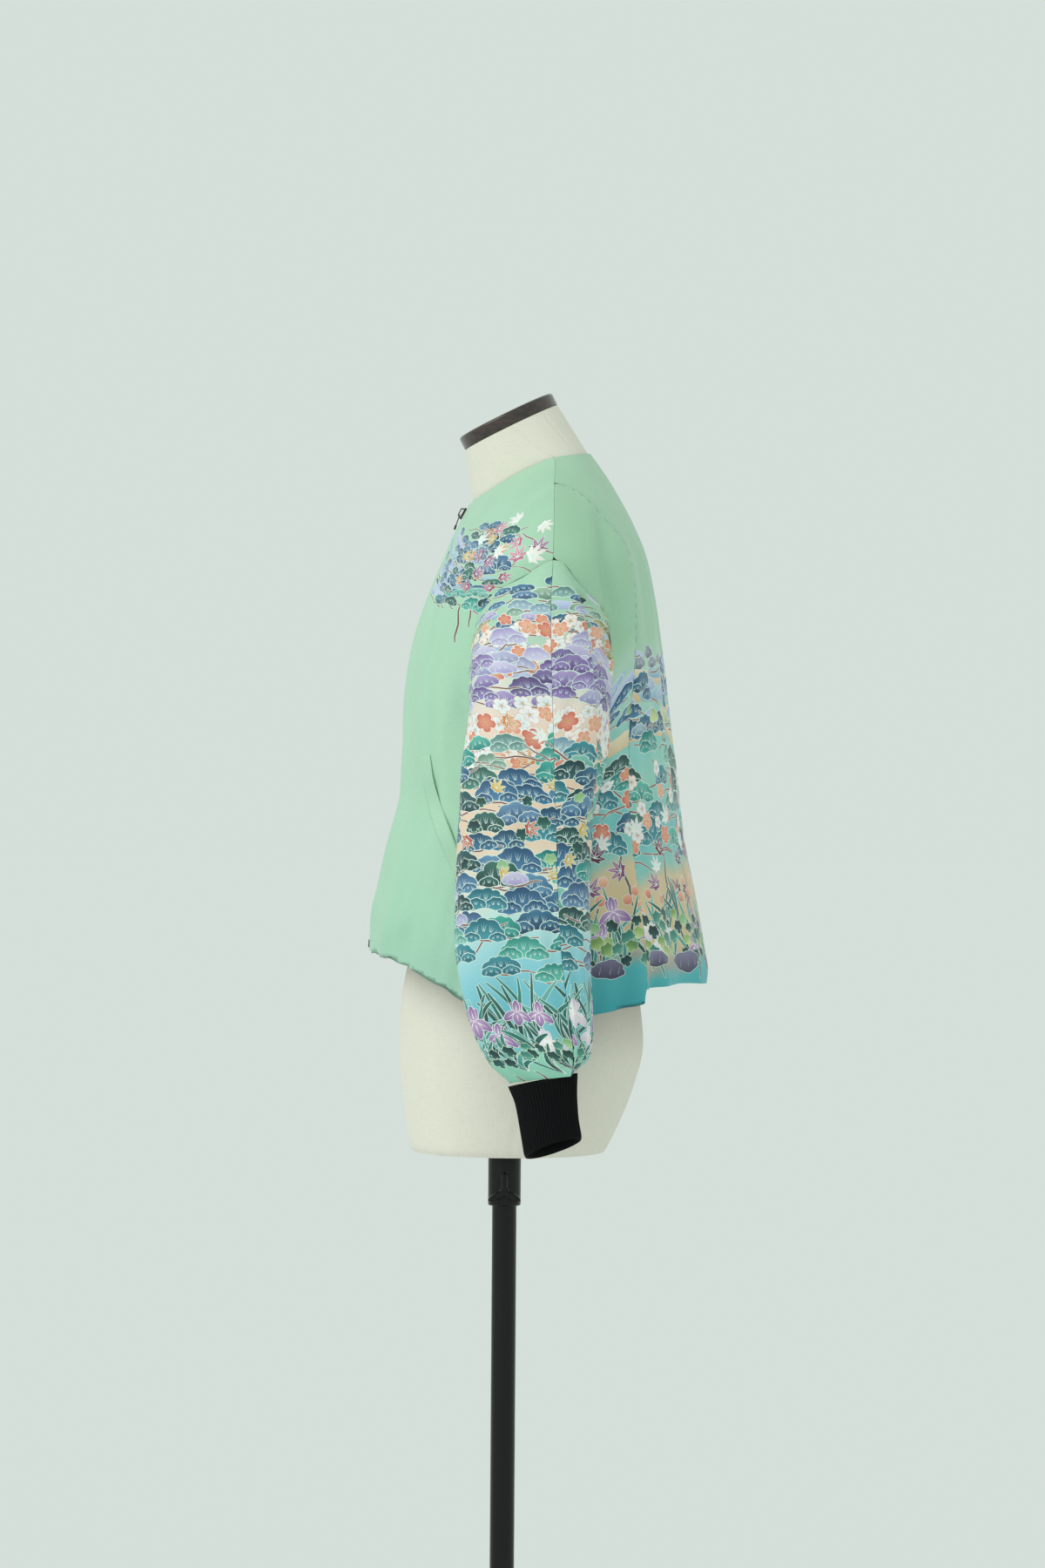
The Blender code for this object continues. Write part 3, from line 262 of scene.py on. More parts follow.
def unit(vectors):
    return vectors / np.maximum(np.linalg.norm(vectors, axis=-1, keepdims=True), 1e-12)


# The garment's surface


def body_ring(name, row):
    return column(BODY_RINGS, RING_COLUMNS, name, row)


def end_line(front, row):
    """Where the centre front or the centre back lies at this row: its place along Y and its height."""
    height = body_ring("front_z" if front else "back_z", row)
    line = FRONT_LINE if front else BACK_LINE
    return smooth([z for z, _ in line], [y for _, y in line], height), height


def plain_body(row, turn):
    """A point of the body without its folds. turn is 0 at the centre front, 0.5 at the side, 1 behind."""
    row, turn = np.broadcast_arrays(np.asarray(row, float), np.asarray(turn, float))
    along, across = superellipse(math.pi * turn, body_ring("power", row))
    side_y, side_z = body_ring("side_y", row), body_ring("side_z", row)
    front_y, front_z = end_line(True, row)
    back_y, back_z = end_line(False, row)
    end_y, end_z = np.where(along > 0, front_y, back_y), np.where(along > 0, front_z, back_z)
    share = np.abs(along)
    lower = np.clip((row - SHOULDER_TIP) / (HEM - SHOULDER_TIP), 0, 1)
    sweep = (1 - lower) * share**1.25 + lower * ramp(share) ** 1.3
    return MM * np.stack(
        [
            body_ring("half_width", row) * across,
            side_y + (end_y - side_y) * share,
            side_z + (end_z - side_z) * sweep,
        ],
        axis=-1,
    )


def fold_height(folds, row, turn, girth):
    """How far the folds lift the cloth at this place."""
    total = np.zeros(np.broadcast(row, turn).shape)
    for row_a, turn_a, row_b, turn_b, width, height in folds:
        along = (row - row_a) / (row_b - row_a)
        beside = (turn - turn_a - (turn_b - turn_a) * along) * girth / (width * MM)
        ends = ramp(along * 3) * ramp((1 - along) * 3)
        total = total + height * MM * ends * np.exp(-(beside**2))
    return total


def normals(surface, row, turn):
    """Unit normals of a surface, from two short steps along each of its directions."""
    small = 1e-3
    down = surface(row + small, turn) - surface(row - small, turn)
    around = surface(row, turn + small) - surface(row, turn - small)
    return unit(np.cross(down, around))


def body(row, turn):
    row, turn = np.broadcast_arrays(np.asarray(row, float), np.asarray(turn, float))
    lift = fold_height(BODY_FOLDS, row, turn, HALF_GIRTH)
    return plain_body(row, turn) + normals(plain_body, row, turn) * lift[..., None]


def turn_at_x(row, x):
    """The turn on the back half where the body is x wide."""
    power = body_ring("power", row)
    across = np.clip(x / body_ring("half_width", row), 0, 1)
    along = (1 - across**power) ** (1 / power)
    return np.arctan2(across, -along) / math.pi


def armhole_rows():
    """Mesh rows beside the armhole, closer together at its top and bottom."""
    share = (1 - np.cos(np.linspace(0, math.pi, ARMHOLE_STEPS + 1))) / 2
    top, bottom = body_ring("side_z", SHOULDER_TIP), body_ring("side_z", UNDERARM)
    fine = np.linspace(SHOULDER_TIP, UNDERARM, 400)
    heights = body_ring("side_z", fine)
    return np.interp(top - share * (top - bottom), heights[::-1], fine[::-1]), share


def armhole_turn(row, share, front):
    """The turn at which this row meets the armhole's front or back edge."""
    reach = smooth([a for a, _, _ in ARMHOLE], [a[1 if front else 2] for a in ARMHOLE], share)
    side_y = body_ring("side_y", row)
    along = reach / np.abs(end_line(front, row)[0] - side_y)
    power = body_ring("power", row)
    across = (1 - along**power) ** (1 / power)
    return np.arctan2(across, along if front else -along) / math.pi


def armhole_loop(angle):
    """The armhole's edge: angle 0 at the shoulder tip, then the front, the underarm and the back."""
    rows, share = armhole_rows()
    at = (1 - np.cos(angle)) / 2
    row = np.interp(at, share, rows)
    front = np.sin(angle) >= -1e-9
    turn = np.where(front, armhole_turn(row, at, True), armhole_turn(row, at, False))
    return body(row, turn)


def sleeve_ring(index, angle):
    """Points of one tabled ring of the left sleeve, in metres."""
    ring = dict(zip(SLEEVE_COLUMNS, SLEEVE_RINGS[index]))
    along, across = superellipse(angle, ring["power"])
    inward = (1 - along) / 2
    middle_y = ring["outer_y"] + (ring["inner_y"] - ring["outer_y"]) * inward
    reach_y = np.where(across > 0, ring["front_y"], ring["back_y"]) - middle_y
    return MM * np.stack(
        [
            ring["outer_x"] + (ring["inner_x"] - ring["outer_x"]) * inward,
            middle_y + reach_y * np.abs(across),
            ring["outer_z"] + (ring["inner_z"] - ring["outer_z"]) * inward - ring["front_drop"] * across,
        ],
        axis=-1,
    )


def plain_sleeve(ring, angle):
    """A point of the left sleeve without its folds. Ring 0 is the armhole; both arguments have one shape."""
    stack = np.stack([armhole_loop(angle)] + [sleeve_ring(index, angle) for index in range(ARM_RINGS)])
    slopes = tangents(np.diff(stack, axis=0))
    lower = np.clip(ring.astype(int), 0, ARM_RINGS - 1)
    t = (ring - lower)[..., None]

    def at(table, number):
        return np.take_along_axis(table, number[None, ..., None], axis=0)[0]

    ends = (at(table, number) for number in (lower, lower + 1) for table in (stack, slopes))
    return eased(t, 1, *ends)


def sleeve_lift(ring, angle):
    """The sleeve's long back fold and the gathers above its cuff."""
    quarter = np.where(np.sin(angle) < 0, (2 * math.pi - angle) / (math.pi / 2), -1)
    places = [row[0] for row in SLEEVE_BACK_FOLD]
    line = smooth(places, [row[1] for row in SLEEVE_BACK_FOLD], ring)
    depth = smooth(places, [row[2] for row in SLEEVE_BACK_FOLD], ring)
    inside = (ring > places[0]) & (ring < places[-1])
    behind = (quarter - line) / 0.12
    before_edge = ramp((1.25 - quarter) / 0.45)
    fold = np.where(inside, -depth * MM * ramp(behind) * before_edge, 0)
    rise = ramp((ring - GATHER_FROM) / 3) * ramp((ARM_RINGS + 0.2 - ring) / 1.2)
    uneven = 0.65 + 0.35 * np.sin(3 * angle + 0.8)
    return fold - GATHER_HEIGHT * rise * uneven * np.cos(GATHERS * angle)


def sleeve(ring, angle):
    ring, angle = np.broadcast_arrays(np.asarray(ring, float), np.asarray(angle, float))
    out = sleeve_normals(plain_sleeve, ring, angle)
    return plain_sleeve(ring, angle) + out * sleeve_lift(ring, angle)[..., None]


def sleeve_normals(surface, ring, angle):
    small = 1e-3
    down = surface(np.minimum(ring + small, ARM_RINGS), angle) - surface(np.maximum(ring - small, 0), angle)
    around = surface(ring, angle + small) - surface(ring, angle - small)
    return unit(np.cross(around, down))



# The flat cut of a panel


def between(table, place):
    """Values of a table at fractional rows and columns, place = (row number, column number)."""
    i = np.clip(place[0].astype(int), 0, table.shape[0] - 2)
    j = np.clip(place[1].astype(int), 0, table.shape[1] - 2)
    extra = (1,) * (table.ndim - 2)
    s = (place[0] - i).reshape(i.shape + extra)
    t = (place[1] - j).reshape(i.shape + extra)
    upper = table[i, j] * (1 - t) + table[i, j + 1] * t
    lower = table[i + 1, j] * (1 - t) + table[i + 1, j + 1] * t
    return upper * (1 - s) + lower * s


def flat_tree(points, triangles):
    """A search tree over triangles of a flat cut."""
    return BVHTree.FromPolygons(np.c_[points, points[:, 0] * 0].tolist(), triangles.tolist())


class FlatCut:
    """A panel of a surface and its flat cut in millimetres: x across it from the origin's column, y down it.

    The panel's points lie in a fine table, one of whose columns is laid out straight. A place in the table
    is a row number and a column number, with fractions.
    """

    def __init__(
        self, surface, normal_of, rows, left, right, columns, level_row, level_y, origin=0.0, straight=0.0
    ):
        turns = left[:, None] + (right - left)[:, None] * np.linspace(0, 1, columns + 1)
        levels = np.repeat(rows[:, None], columns + 1, axis=1)
        self.rows, self.turns, self.last = rows, turns, (len(rows) - 1, columns)
        self.points = surface(levels, turns)
        self.out = normal_of(surface, levels, turns)
        small = 1e-3
        self.across = unit(surface(levels, turns + small) - surface(levels, turns - small))
        self.down = unit(surface(levels + small, turns) - surface(levels - small, turns))
        length = np.linalg.norm(np.diff(self.points, axis=0), axis=2) / MM
        self.y = np.concatenate([np.zeros((1, columns + 1)), np.cumsum(length, axis=0)], axis=0)
        level = np.array([np.interp(level_row, rows, self.y[:, j]) for j in range(columns + 1)])
        self.y += level_y - level
        arc = np.linalg.norm(np.diff(self.points, axis=1), axis=2) / MM
        self.x = np.concatenate([np.zeros((len(rows), 1)), np.cumsum(arc, axis=1)], axis=1)
        self.x -= self.x[:, round(straight * columns)][:, None]
        self.x -= np.interp(level_row, rows, self.x[:, round(origin * columns)])
        self.hem = np.full(columns + 1, float(self.last[0]))
        self.from_right = False
        number = np.arange(self.x.size).reshape(self.x.shape)
        a, b, c, d = number[:-1, :-1], number[:-1, 1:], number[1:, 1:], number[1:, :-1]
        corners = [np.stack(three, axis=-1).reshape(-1, 3) for three in ((a, b, c), (a, c, d))]
        self.triangles = np.concatenate(corners)
        self.flat = np.stack([self.x.ravel(), self.y.ravel()], axis=1)
        self.tree = flat_tree(self.flat, self.triangles)

    def end_at(self, places, levels):
        """Ends the panel at these rows of the surface, given at these turns of it."""
        self.hem = np.interp(np.interp(self.turns[-1], places, levels), self.rows, np.arange(len(self.rows)))

    def place(self, flat):
        """Where points of the flat cut lie in the table, from the triangle of it that each lies in."""
        hits = [self.tree.find_nearest((x, y, 0)) for x, y in flat.tolist()]
        corners = self.triangles[[hit[2] for hit in hits]]
        a, b, c = (self.flat[corners[:, k]] for k in range(3))
        u, v, w = b - a, c - a, np.array([tuple(hit[0])[:2] for hit in hits]) - a
        area = u[:, 0] * v[:, 1] - u[:, 1] * v[:, 0]
        area = np.where(np.abs(area) < 1e-6, 1e-6, area)
        by_b = np.clip((w[:, 0] * v[:, 1] - w[:, 1] * v[:, 0]) / area, 0, 1)
        by_c = np.clip((u[:, 0] * w[:, 1] - u[:, 1] * w[:, 0]) / area, 0, 1)
        shares = np.stack([1 - by_b - by_c, by_b, by_c], axis=1)
        wide = self.last[1] + 1
        return (shares * (corners // wide)).sum(axis=1), (shares * (corners % wide)).sum(axis=1)

    def outline(self):
        """The edge of the flat cut, anticlockwise, pulled in by half of a seam's gap."""
        rows, shares = np.arange(self.last[0] + 1), np.arange(self.last[1] + 1)
        first = rows[rows < self.hem[0] - 0.2]
        final = rows[rows < self.hem[-1] - 0.2]
        sides = (
            np.stack([first, first * 0], axis=1),
            np.stack([self.hem, shares], axis=1),
            np.stack([final, final * 0 + self.last[1]], axis=1)[::-1],
            np.stack([shares * 0, shares], axis=1)[::-1][1:-1],
        )
        places = np.concatenate(sides).astype(float).T
        points = np.stack([between(self.x, places), between(self.y, places)], axis=1)
        points = points[np.linalg.norm(points - np.roll(points, 1, axis=0), axis=1) > 0.6]
        return outset(turned_left(points), -SEAM_GAP / MM / 2)

    def seam_distance(self, flat, place):
        """How far a point lies from the nearer long edge, in millimetres."""
        left = between(self.x, (place[0], place[1] * 0))
        right = between(self.x, (place[0], place[1] * 0 + self.last[1]))
        return np.minimum(flat[:, 0] - left, right - flat[:, 0])

    def find(self, y, z):
        """The places of points seen from the side, by damped steps."""
        target = np.stack([y, z], axis=-1)
        row, column = np.full(len(y), self.last[0] * 0.6), np.full(len(y), self.last[1] * 0.5)
        for _ in range(60):
            here = between(self.points, (row, column))[:, 1:]
            by_row = (between(self.points, (row + 0.5, column))[:, 1:] - here) / 0.5
            by_column = (between(self.points, (row, column + 0.5))[:, 1:] - here) / 0.5
            step = np.linalg.solve(np.stack([by_row, by_column], axis=-1), (target - here)[..., None])[..., 0]
            row = np.clip(row + 0.4 * step[:, 0], 0, self.last[0] - 1.01)
            column = np.clip(column + 0.4 * step[:, 1], 0, self.last[1] - 1.01)
        return row, column


def armhole_share(row):
    """How far down the armhole this row of the body lies, from 0 to 1."""
    top, bottom = body_ring("side_z", SHOULDER_TIP), body_ring("side_z", UNDERARM)
    return np.clip((top - body_ring("side_z", row)) / (top - bottom), 0, 1)


def side_turns(rows, front):
    """Where each row ends at the side: the shoulder seam, the armhole or the side seam."""
    beside_armhole = (rows > SHOULDER_TIP) & (rows < UNDERARM)
    return np.where(beside_armhole, armhole_turn(rows, armhole_share(rows), front), 0.5)


def seam_turns(rows):
    return np.where(rows > SEAM_START, turn_at_x(rows, body_ring("seam_x", rows)), 0.5)


def front_cut():
    rows = np.linspace(0, HEM, 181)
    edge = np.arctan(FRONT_EDGE / MM / body_ring("half_width", rows)) / math.pi
    return FlatCut(body, normals, rows, edge, side_turns(rows, True), 96, UNDERARM, 350)


def back_side_cut():
    rows = np.linspace(SEAM_START + 0.1, HEM, 161)
    turns = (side_turns(rows, False), seam_turns(rows))
    return FlatCut(body, normals, rows, *turns, 40, UNDERARM, 350, 1.0, 0.7)


def back_cut():
    rows = np.linspace(0, HEM, 181)
    seam = seam_turns(rows)
    cut = FlatCut(body, normals, rows, seam, 2 - seam, 140, UNDERARM, 345, 0.5, 0.5)
    cut.end_at((cut.turns[-1][0], 1, cut.turns[-1][-1]), BACK_HEM)
    return cut


def sleeve_cut(front):
    rings = np.linspace(0, ARM_RINGS, 177)
    start = 0 if front else math.pi
    origin, straight = (0.0, 0.7) if front else (1.0, 0.5)
    left, right = np.full_like(rings, start), np.full_like(rings, start + math.pi)
    cut = FlatCut(sleeve, sleeve_normals, rings, left, right, 110, 5, 290, origin, straight)
    cut.from_right = not front
    return cut

# Outlines on the flat cut, in millimetres


def turned_left(points):
    """The same outline, running anticlockwise."""
    x, y = points[:, 0], points[:, 1]
    area = np.dot(x, np.roll(y, -1)) - np.dot(y, np.roll(x, -1))
    return points if area > 0 else points[::-1]


def outset(points, distance):
    """An anticlockwise outline moved out by a distance."""
    ahead = unit(np.roll(points, -1, axis=0) - points)
    behind = np.roll(ahead, 1, axis=0)
    out = np.stack([ahead[:, 1] + behind[:, 1], -ahead[:, 0] - behind[:, 0]], axis=1)
    length = np.linalg.norm(out, axis=1, keepdims=True)
    scale = np.minimum(2 / np.maximum(length**2, 1e-6), 1.6 / np.maximum(length, 1e-6))
    return points + out * scale * distance


def inside(points, outline):
    """Which points lie inside an outline."""
    a, b = outline, np.roll(outline, -1, axis=0)
    x, y = points[:, :1], points[:, 1:]
    crosses = (a[:, 1] > y) != (b[:, 1] > y)
    at = a[:, 0] + (y - a[:, 1]) * (b[:, 0] - a[:, 0]) / np.where(b[:, 1] == a[:, 1], 1e-9, b[:, 1] - a[:, 1])
    return (crosses & (x < at)).sum(axis=1) % 2 == 1


def linear(colour):
    """Linear red, green and blue of an sRGB hex colour."""
    channels = [int(colour[i : i + 2], 16) / 255 for i in (1, 3, 5)]
    return np.array([c / 12.92 if c <= 0.04045 else ((c + 0.055) / 1.055) ** 2.4 for c in channels])


class Pattern:
    """Outlines to paint on a flat cut, the last on top, each with two colours and where they are pure."""

    def __init__(self, seed):
        self.outlines, self.paints, self.random = [], [], random.Random(seed)

    def shape(self, points, first, second=None, start=(0, 0), end=(0, 1), round_=False):
        second = first if second is None else second
        self.outlines.append(turned_left(np.asarray(points, float)))
        self.paints.append((linear(first), linear(second), start, end, round_))

    def lined(self, points, first, second, start, end, line, width=0.8, round_=False):
        """A shape with the pale line of resist-dyed silk round it."""
        points = turned_left(np.asarray(points, float))
        self.shape(outset(points, width), line)
        self.shape(points, first, second, start, end, round_)


def placed(points, centre, turn=0.0, size=1.0):
    c, s = math.cos(turn) * size, math.sin(turn) * size
    return np.asarray(points, float) @ np.array(((c, s), (-s, c))) + np.asarray(centre, float)


def polar(angles, reaches):
    return np.stack([np.cos(angles) * reaches, np.sin(angles) * reaches], axis=1)


def sliver(start, end, width):
    """A thin stroke that ends in a point."""
    start, end = np.asarray(start, float), np.asarray(end, float)
    side = unit(end - start)[::-1] * np.array((-1, 1)) * width / 2
    return np.array((start + side, start - side, end))


def ribbon(line, width, taper=0.6):
    """A band along a line, narrower towards both ends."""
    line = np.asarray(line, float)
    ahead = unit(np.gradient(line, axis=0))
    side = np.stack([-ahead[:, 1], ahead[:, 0]], axis=1)
    share = np.linspace(0, 1, len(line))
    half = width / 2 * (0.12 + 0.88 * np.sin(math.pi * (0.06 + 0.9 * share)) ** taper)
    return np.concatenate([line + side * half[:, None], (line - side * half[:, None])[::-1]])


LINE = "#D9EBE2"  # the undyed resist line
TWIG = "#8E4E46"
PALETTES = {  # a motif's deep and light colour
    "navy": (("#1B4468", "#4B80A6"), ("#24527C", "#6496B8"), ("#1A3F5C", "#3D7898"), ("#2B4C74", "#6F98BB")),
    "teal": (("#106E6E", "#43AD9F"), ("#188078", "#66C2B0"), ("#16606F", "#4598A6"), ("#2A8A80", "#8FD0BF")),
    "forest": (("#143D3B", "#3A7168"), ("#1D4F4A", "#4A8676"), ("#0F3438", "#2F6064")),
    "purple": (("#5A4282", "#9C88C2"), ("#6E5699", "#B5A5D4"), ("#4A396C", "#897AAF")),
    "lilac": (("#9A8FC2", "#D0C9E6"), ("#8E8BB8", "#BFC2DE"), ("#A79CCE", "#DAD4EC")),
    "haze": (("#93ABD0", "#BFD0E8"), ("#A4B4DA", "#C9D4EC"), ("#86B0C8", "#B4D6DE")),
    "dusk": (("#5F5F78", "#9A9AB4"), ("#6C7486", "#A6AFBE")),
    "sage": (("#5E8676", "#A6C6AC"), ("#6C90A4", "#ADC6D2"), ("#4F7C7A", "#8FBAB2")),
    "olive": (("#6F6C3A", "#C0B478"), ("#55643A", "#A3A664"), ("#84803F", "#CFC48A")),
    "spring": (("#7CA257", "#C6DA90"), ("#96B76A", "#D6E4A6"), ("#648F54", "#A8C984")),
    "sand": (("#D2B98E", "#E6D6B6"), ("#D9C49C", "#EADCC0")),
    "snow": (("#F3F1EB", "#E4E2EA"), ("#F6F3ED", "#EBDAD2"), ("#F0F3F0", "#D5E3E6")),
    "salmon": (("#D97F62", "#F1B598"), ("#E2977A", "#F6CCB0"), ("#CB6B57", "#ECA78E")),
    "autumn": (("#D6A933", "#F2DC7E"), ("#D9843F", "#F2BE82"), ("#C9A64E", "#EEDD9C"), ("#B9543F", "#E29A80")),
    "rose": (("#A4496C", "#DA8EAE"), ("#8C4676", "#C78AB8"), ("#BF6C88", "#EAB2C4")),
    "plum": (("#6E2340", "#A8536E"), ("#602548", "#985080")),
    "leaf": (("#1B4A4C", "#2F6E64"), ("#3A8076", "#6CB29C"), ("#88B986", "#B9D8A2")),
    "blade": (("#12534E", "#3A8C80"), ("#227A78", "#74C0B6"), ("#183F40", "#2B6C62")),
    "rock": (("#3A3650", "#726E8A"), ("#46445A", "#8683A0")),
}


def pine_dome(pattern, centre, size, colours, lean):
    """One dome of a pine bough: a few rounded scallops with fine needles that fan out from its foot."""
    rng = pattern.random
    deep, light = colours
    lobes = 3 + (size > 24) + (size > 40)
    half, rise = size / 2, size * rng.uniform(0.36, 0.46)
    angles = np.linspace(0, math.pi, 5 * lobes + 1)
    warped = angles + 0.16 * np.sin(2 * angles + rng.uniform(0, 6)) * np.sin(angles)
    dome = 1 / np.hypot(np.cos(angles) / half, np.sin(angles) / rise)
    top = polar(-angles, dome * (0.84 + 0.16 * np.abs(np.sin(lobes * warped)) ** 0.55))
    base_x = np.linspace(-half * 0.8, half * 0.8, 7)[1:-1]
    base = np.stack([base_x, 1.3 + 0.9 * np.cos(base_x / half * 6)], axis=1)
    outline = placed(np.concatenate([top, base]), centre, lean)
    ends = placed([(0, 2), (0, -rise * 1.05)], centre, lean)
    pattern.lined(outline, deep, light, ends[0], ends[1], LINE, 0.7)
    for lobe in range(lobes) if size > 15 else ():
        middle = (lobe + 0.5) * math.pi / lobes
        root = np.array((math.cos(middle) * half * 0.5, -math.sin(middle) * rise * 0.16))
        for turn in (-0.34, 0, 0.34):
            angle = middle + turn * math.pi / lobes
            reach = 0.74 / math.hypot(math.cos(angle) / half, math.sin(angle) / rise)
            tip = np.array((math.cos(angle), -math.sin(angle))) * reach
            pattern.shape(placed(sliver(root + (tip - root) * 0.25, tip, 0.7), centre, lean), "#CFE3E0")


def pine_pad(pattern, centre, size, palette, lean=0.0):
    """A cushion of a pine bough: a wide dome with smaller ones in front of it."""
    rng = pattern.random
    colours = rng.choice(PALETTES[palette])
    if rng.random() < 0.6:
        colours = colours[::-1]
    pine_dome(pattern, centre, size, colours, lean)
    if size > 33:
        for side in (-1, 1):
            foot = placed([(side * size * rng.uniform(0.2, 0.34), size * 0.06)], centre, lean)[0]
            pine_dome(pattern, foot, size * rng.uniform(0.42, 0.54), colours, lean)


def twig(pattern, start, length, turn, width=1.6, colour=TWIG):
    rng = pattern.random
    steps = np.linspace(0, 1, 7)
    bend, wave = rng.uniform(-0.25, 0.25), rng.uniform(0, 6)
    line = np.stack([steps * length, length * (bend * steps**2 + 0.035 * np.sin(9 * steps + wave))], axis=1)
    pattern.lined(placed(ribbon(line, width, 0.3), start, turn), colour, colour, (0, 0), (0, 1), LINE, 0.45)


def blossom(pattern, centre, size, palette):
    """A five-petal blossom with a tinted heart and stamens."""
    rng = pattern.random
    pale, deep = rng.choice(PALETTES[palette])
    angles = np.linspace(0, 2 * math.pi, 30, endpoint=False)
    petals = size / 2 * (0.66 + 0.34 * np.abs(np.cos(2.5 * angles)) ** 0.5)
    turn = rng.uniform(0, 6)
    heart = np.asarray(centre, float)
    rim = heart + np.array((size / 2, 0))
    outline = placed(polar(angles, petals), centre, turn)
    pattern.lined(outline, deep, pale, heart, rim, "#DDBFB4" if palette == "snow" else "#FBF1E6", 0.6, True)
    for k in range(5):
        ray = polar(np.array([turn + k * 2 * math.pi / 5]), np.array([1.0]))[0]
        pattern.shape(sliver(heart + ray * size * 0.06, heart + ray * size * 0.27, 0.7), "#B4705A")
    pattern.shape(placed(polar(angles[::5], size * 0.07), centre), "#D8B25A", "#B4705A", heart, rim, True)


MAPLE = ((0, 1.0), (40, 0.9), (80, 0.74), (122, 0.46))  # lobes on one side: degrees from the tip, reach


def leaf_outline(lobes, notch, shoulder=8, waist=0.6):
    """A lobed leaf, tip upwards, from the lobes on one side of it."""
    one_side = [(180, notch * 0.55)]
    previous = None
    for angle, reach in reversed(lobes):
        if previous is not None:
            one_side.append(((previous + angle) / 2, notch))
        one_side += [(angle + shoulder, reach * waist + notch * 0.3), (angle, reach)]
        if angle:
            one_side.append((angle - shoulder, reach * waist + notch * 0.3))
        previous = angle
    other = [(-angle, reach) for angle, reach in reversed(one_side[1:-1])]
    both = one_side + other
    angles = np.radians([angle - 90 for angle, _ in both])
    return polar(angles, np.array([reach for _, reach in both]))


def maple(pattern, centre, size, palette):
    rng = pattern.random
    deep, light = rng.choice(PALETTES[palette])
    turn = rng.uniform(-2.4, 2.4)
    outline = placed(leaf_outline(MAPLE, 0.36), centre, turn, size / 2)
    tip = placed([(0, -size / 2)], centre, turn)[0]
    pattern.lined(outline, deep, light, centre, tip, LINE, 0.55)
    for angle, reach in MAPLE[:3]:
        for side in (1, -1) if angle else (1,):
            bearing = math.radians(side * angle - 90)
            end = np.array((math.cos(bearing), math.sin(bearing))) * reach * 0.8
            pattern.shape(placed(sliver((0, 0), end, 0.07), centre, turn, size / 2), LINE)


IVY = ((0, 1.0), (62, 0.86), (118, 0.6))


def ivy(pattern, centre, size, palette):
    rng = pattern.random
    deep, light = rng.choice(PALETTES[palette])
    turn = math.pi + rng.uniform(-0.7, 0.7)
    outline = placed(leaf_outline(IVY, 0.62, 18, 0.8), centre, turn, size / 2)
    tip = placed([(0, -size / 2)], centre, turn)[0]
    pattern.lined(outline, deep, light, centre, tip, "#C9DEC0", 0.5)


def blade(pattern, base, length, turn, width, palette):
    """A grass or iris leaf that bends over towards its tip."""
    rng = pattern.random
    deep, light = rng.choice(PALETTES[palette])
    steps = np.linspace(0, 1, 6)
    bend = rng.uniform(-0.45, 0.45)
    line = np.stack([length * bend * steps**2.2, -length * steps], axis=1)
    points = placed(ribbon(line, width), base, turn)
    tip = placed([line[-1]], base, turn)[0]
    pattern.lined(points, deep, light, base, tip, LINE, 0.5)


# An iris's petals: bearing, reach and width, the upright ones first
IRIS = (
    (-2.0, 0.4, 0.2), (-1.2, 0.4, 0.2), (-1.57, 0.46, 0.24), (0.35, 0.56, 0.3), (2.8, 0.56, 0.3),
    (1.57, 0.5, 0.34),
)


def iris(pattern, centre, size):
    """An iris from the side: three hanging petals with pale streaks and three narrow upright ones."""
    rng = pattern.random
    pale, deep = ("#F5F3F4", "#D2C4DC") if rng.random() < 0.45 else ("#C3A4CC", "#8D6AA2")
    turn = rng.uniform(-0.25, 0.25)
    blade(pattern, (centre[0], centre[1] + size * 1.1), size, turn * 0.5, 2.4, "blade")
    steps = np.linspace(0, 1, 6)
    for angle, reach, width in IRIS:
        sag = 0.14 * math.cos(angle) * (angle > 0)
        line = np.stack([steps * reach, sag * steps**2], axis=1) * size
        petal = placed(ribbon(line, size * width, 0.9), centre, angle + turn)
        rim = placed([line[-1]], centre, angle + turn)[0]
        pattern.lined(petal, pale, deep, centre, rim, "#F7F5F6", 0.5)
        streak = placed([line[1], line[-2]], centre, angle + turn)
        pattern.shape(sliver(streak[0], streak[1], 1.1), "#FBF8EE" if pale == "#C3A4CC" else "#E9D9A0")


def disc(pattern, centre, size, palette):
    """A small round bloom seen from the side."""
    deep, light = pattern.random.choice(PALETTES[palette])
    angles = np.linspace(0, 2 * math.pi, 14, endpoint=False)
    points = placed(polar(angles, size / 2), centre)
    x, y = centre
    pattern.lined(points, deep, light, (x, y + size / 2), (x, y - size / 2), LINE, 0.5)


def rock(pattern, centre, size, palette):
    """A low rock with pale edges."""
    rng = pattern.random
    deep, light = rng.choice(PALETTES[palette])
    angles = np.linspace(0, 2 * math.pi, 22, endpoint=False)
    waves = [rng.uniform(0, 6) for _ in range(3)]
    reach = size / 2 * (1 + 0.1 * np.sin(3 * angles + waves[0]) + 0.06 * np.sin(7 * angles + waves[1]))
    outline = placed(polar(angles, reach) * np.array((1, 0.5)), centre)
    pattern.lined(outline, deep, light, (0, centre[1] + size / 4), (0, centre[1] - size / 4), LINE, 0.5)
    for k in (-0.25, 0.05, 0.3):
        base = np.array((centre[0] + k * size, centre[1] + size * 0.12))
        pattern.shape(sliver(base, base + np.array((size * 0.06, -size * 0.24)), 0.8), "#A9A8B2")


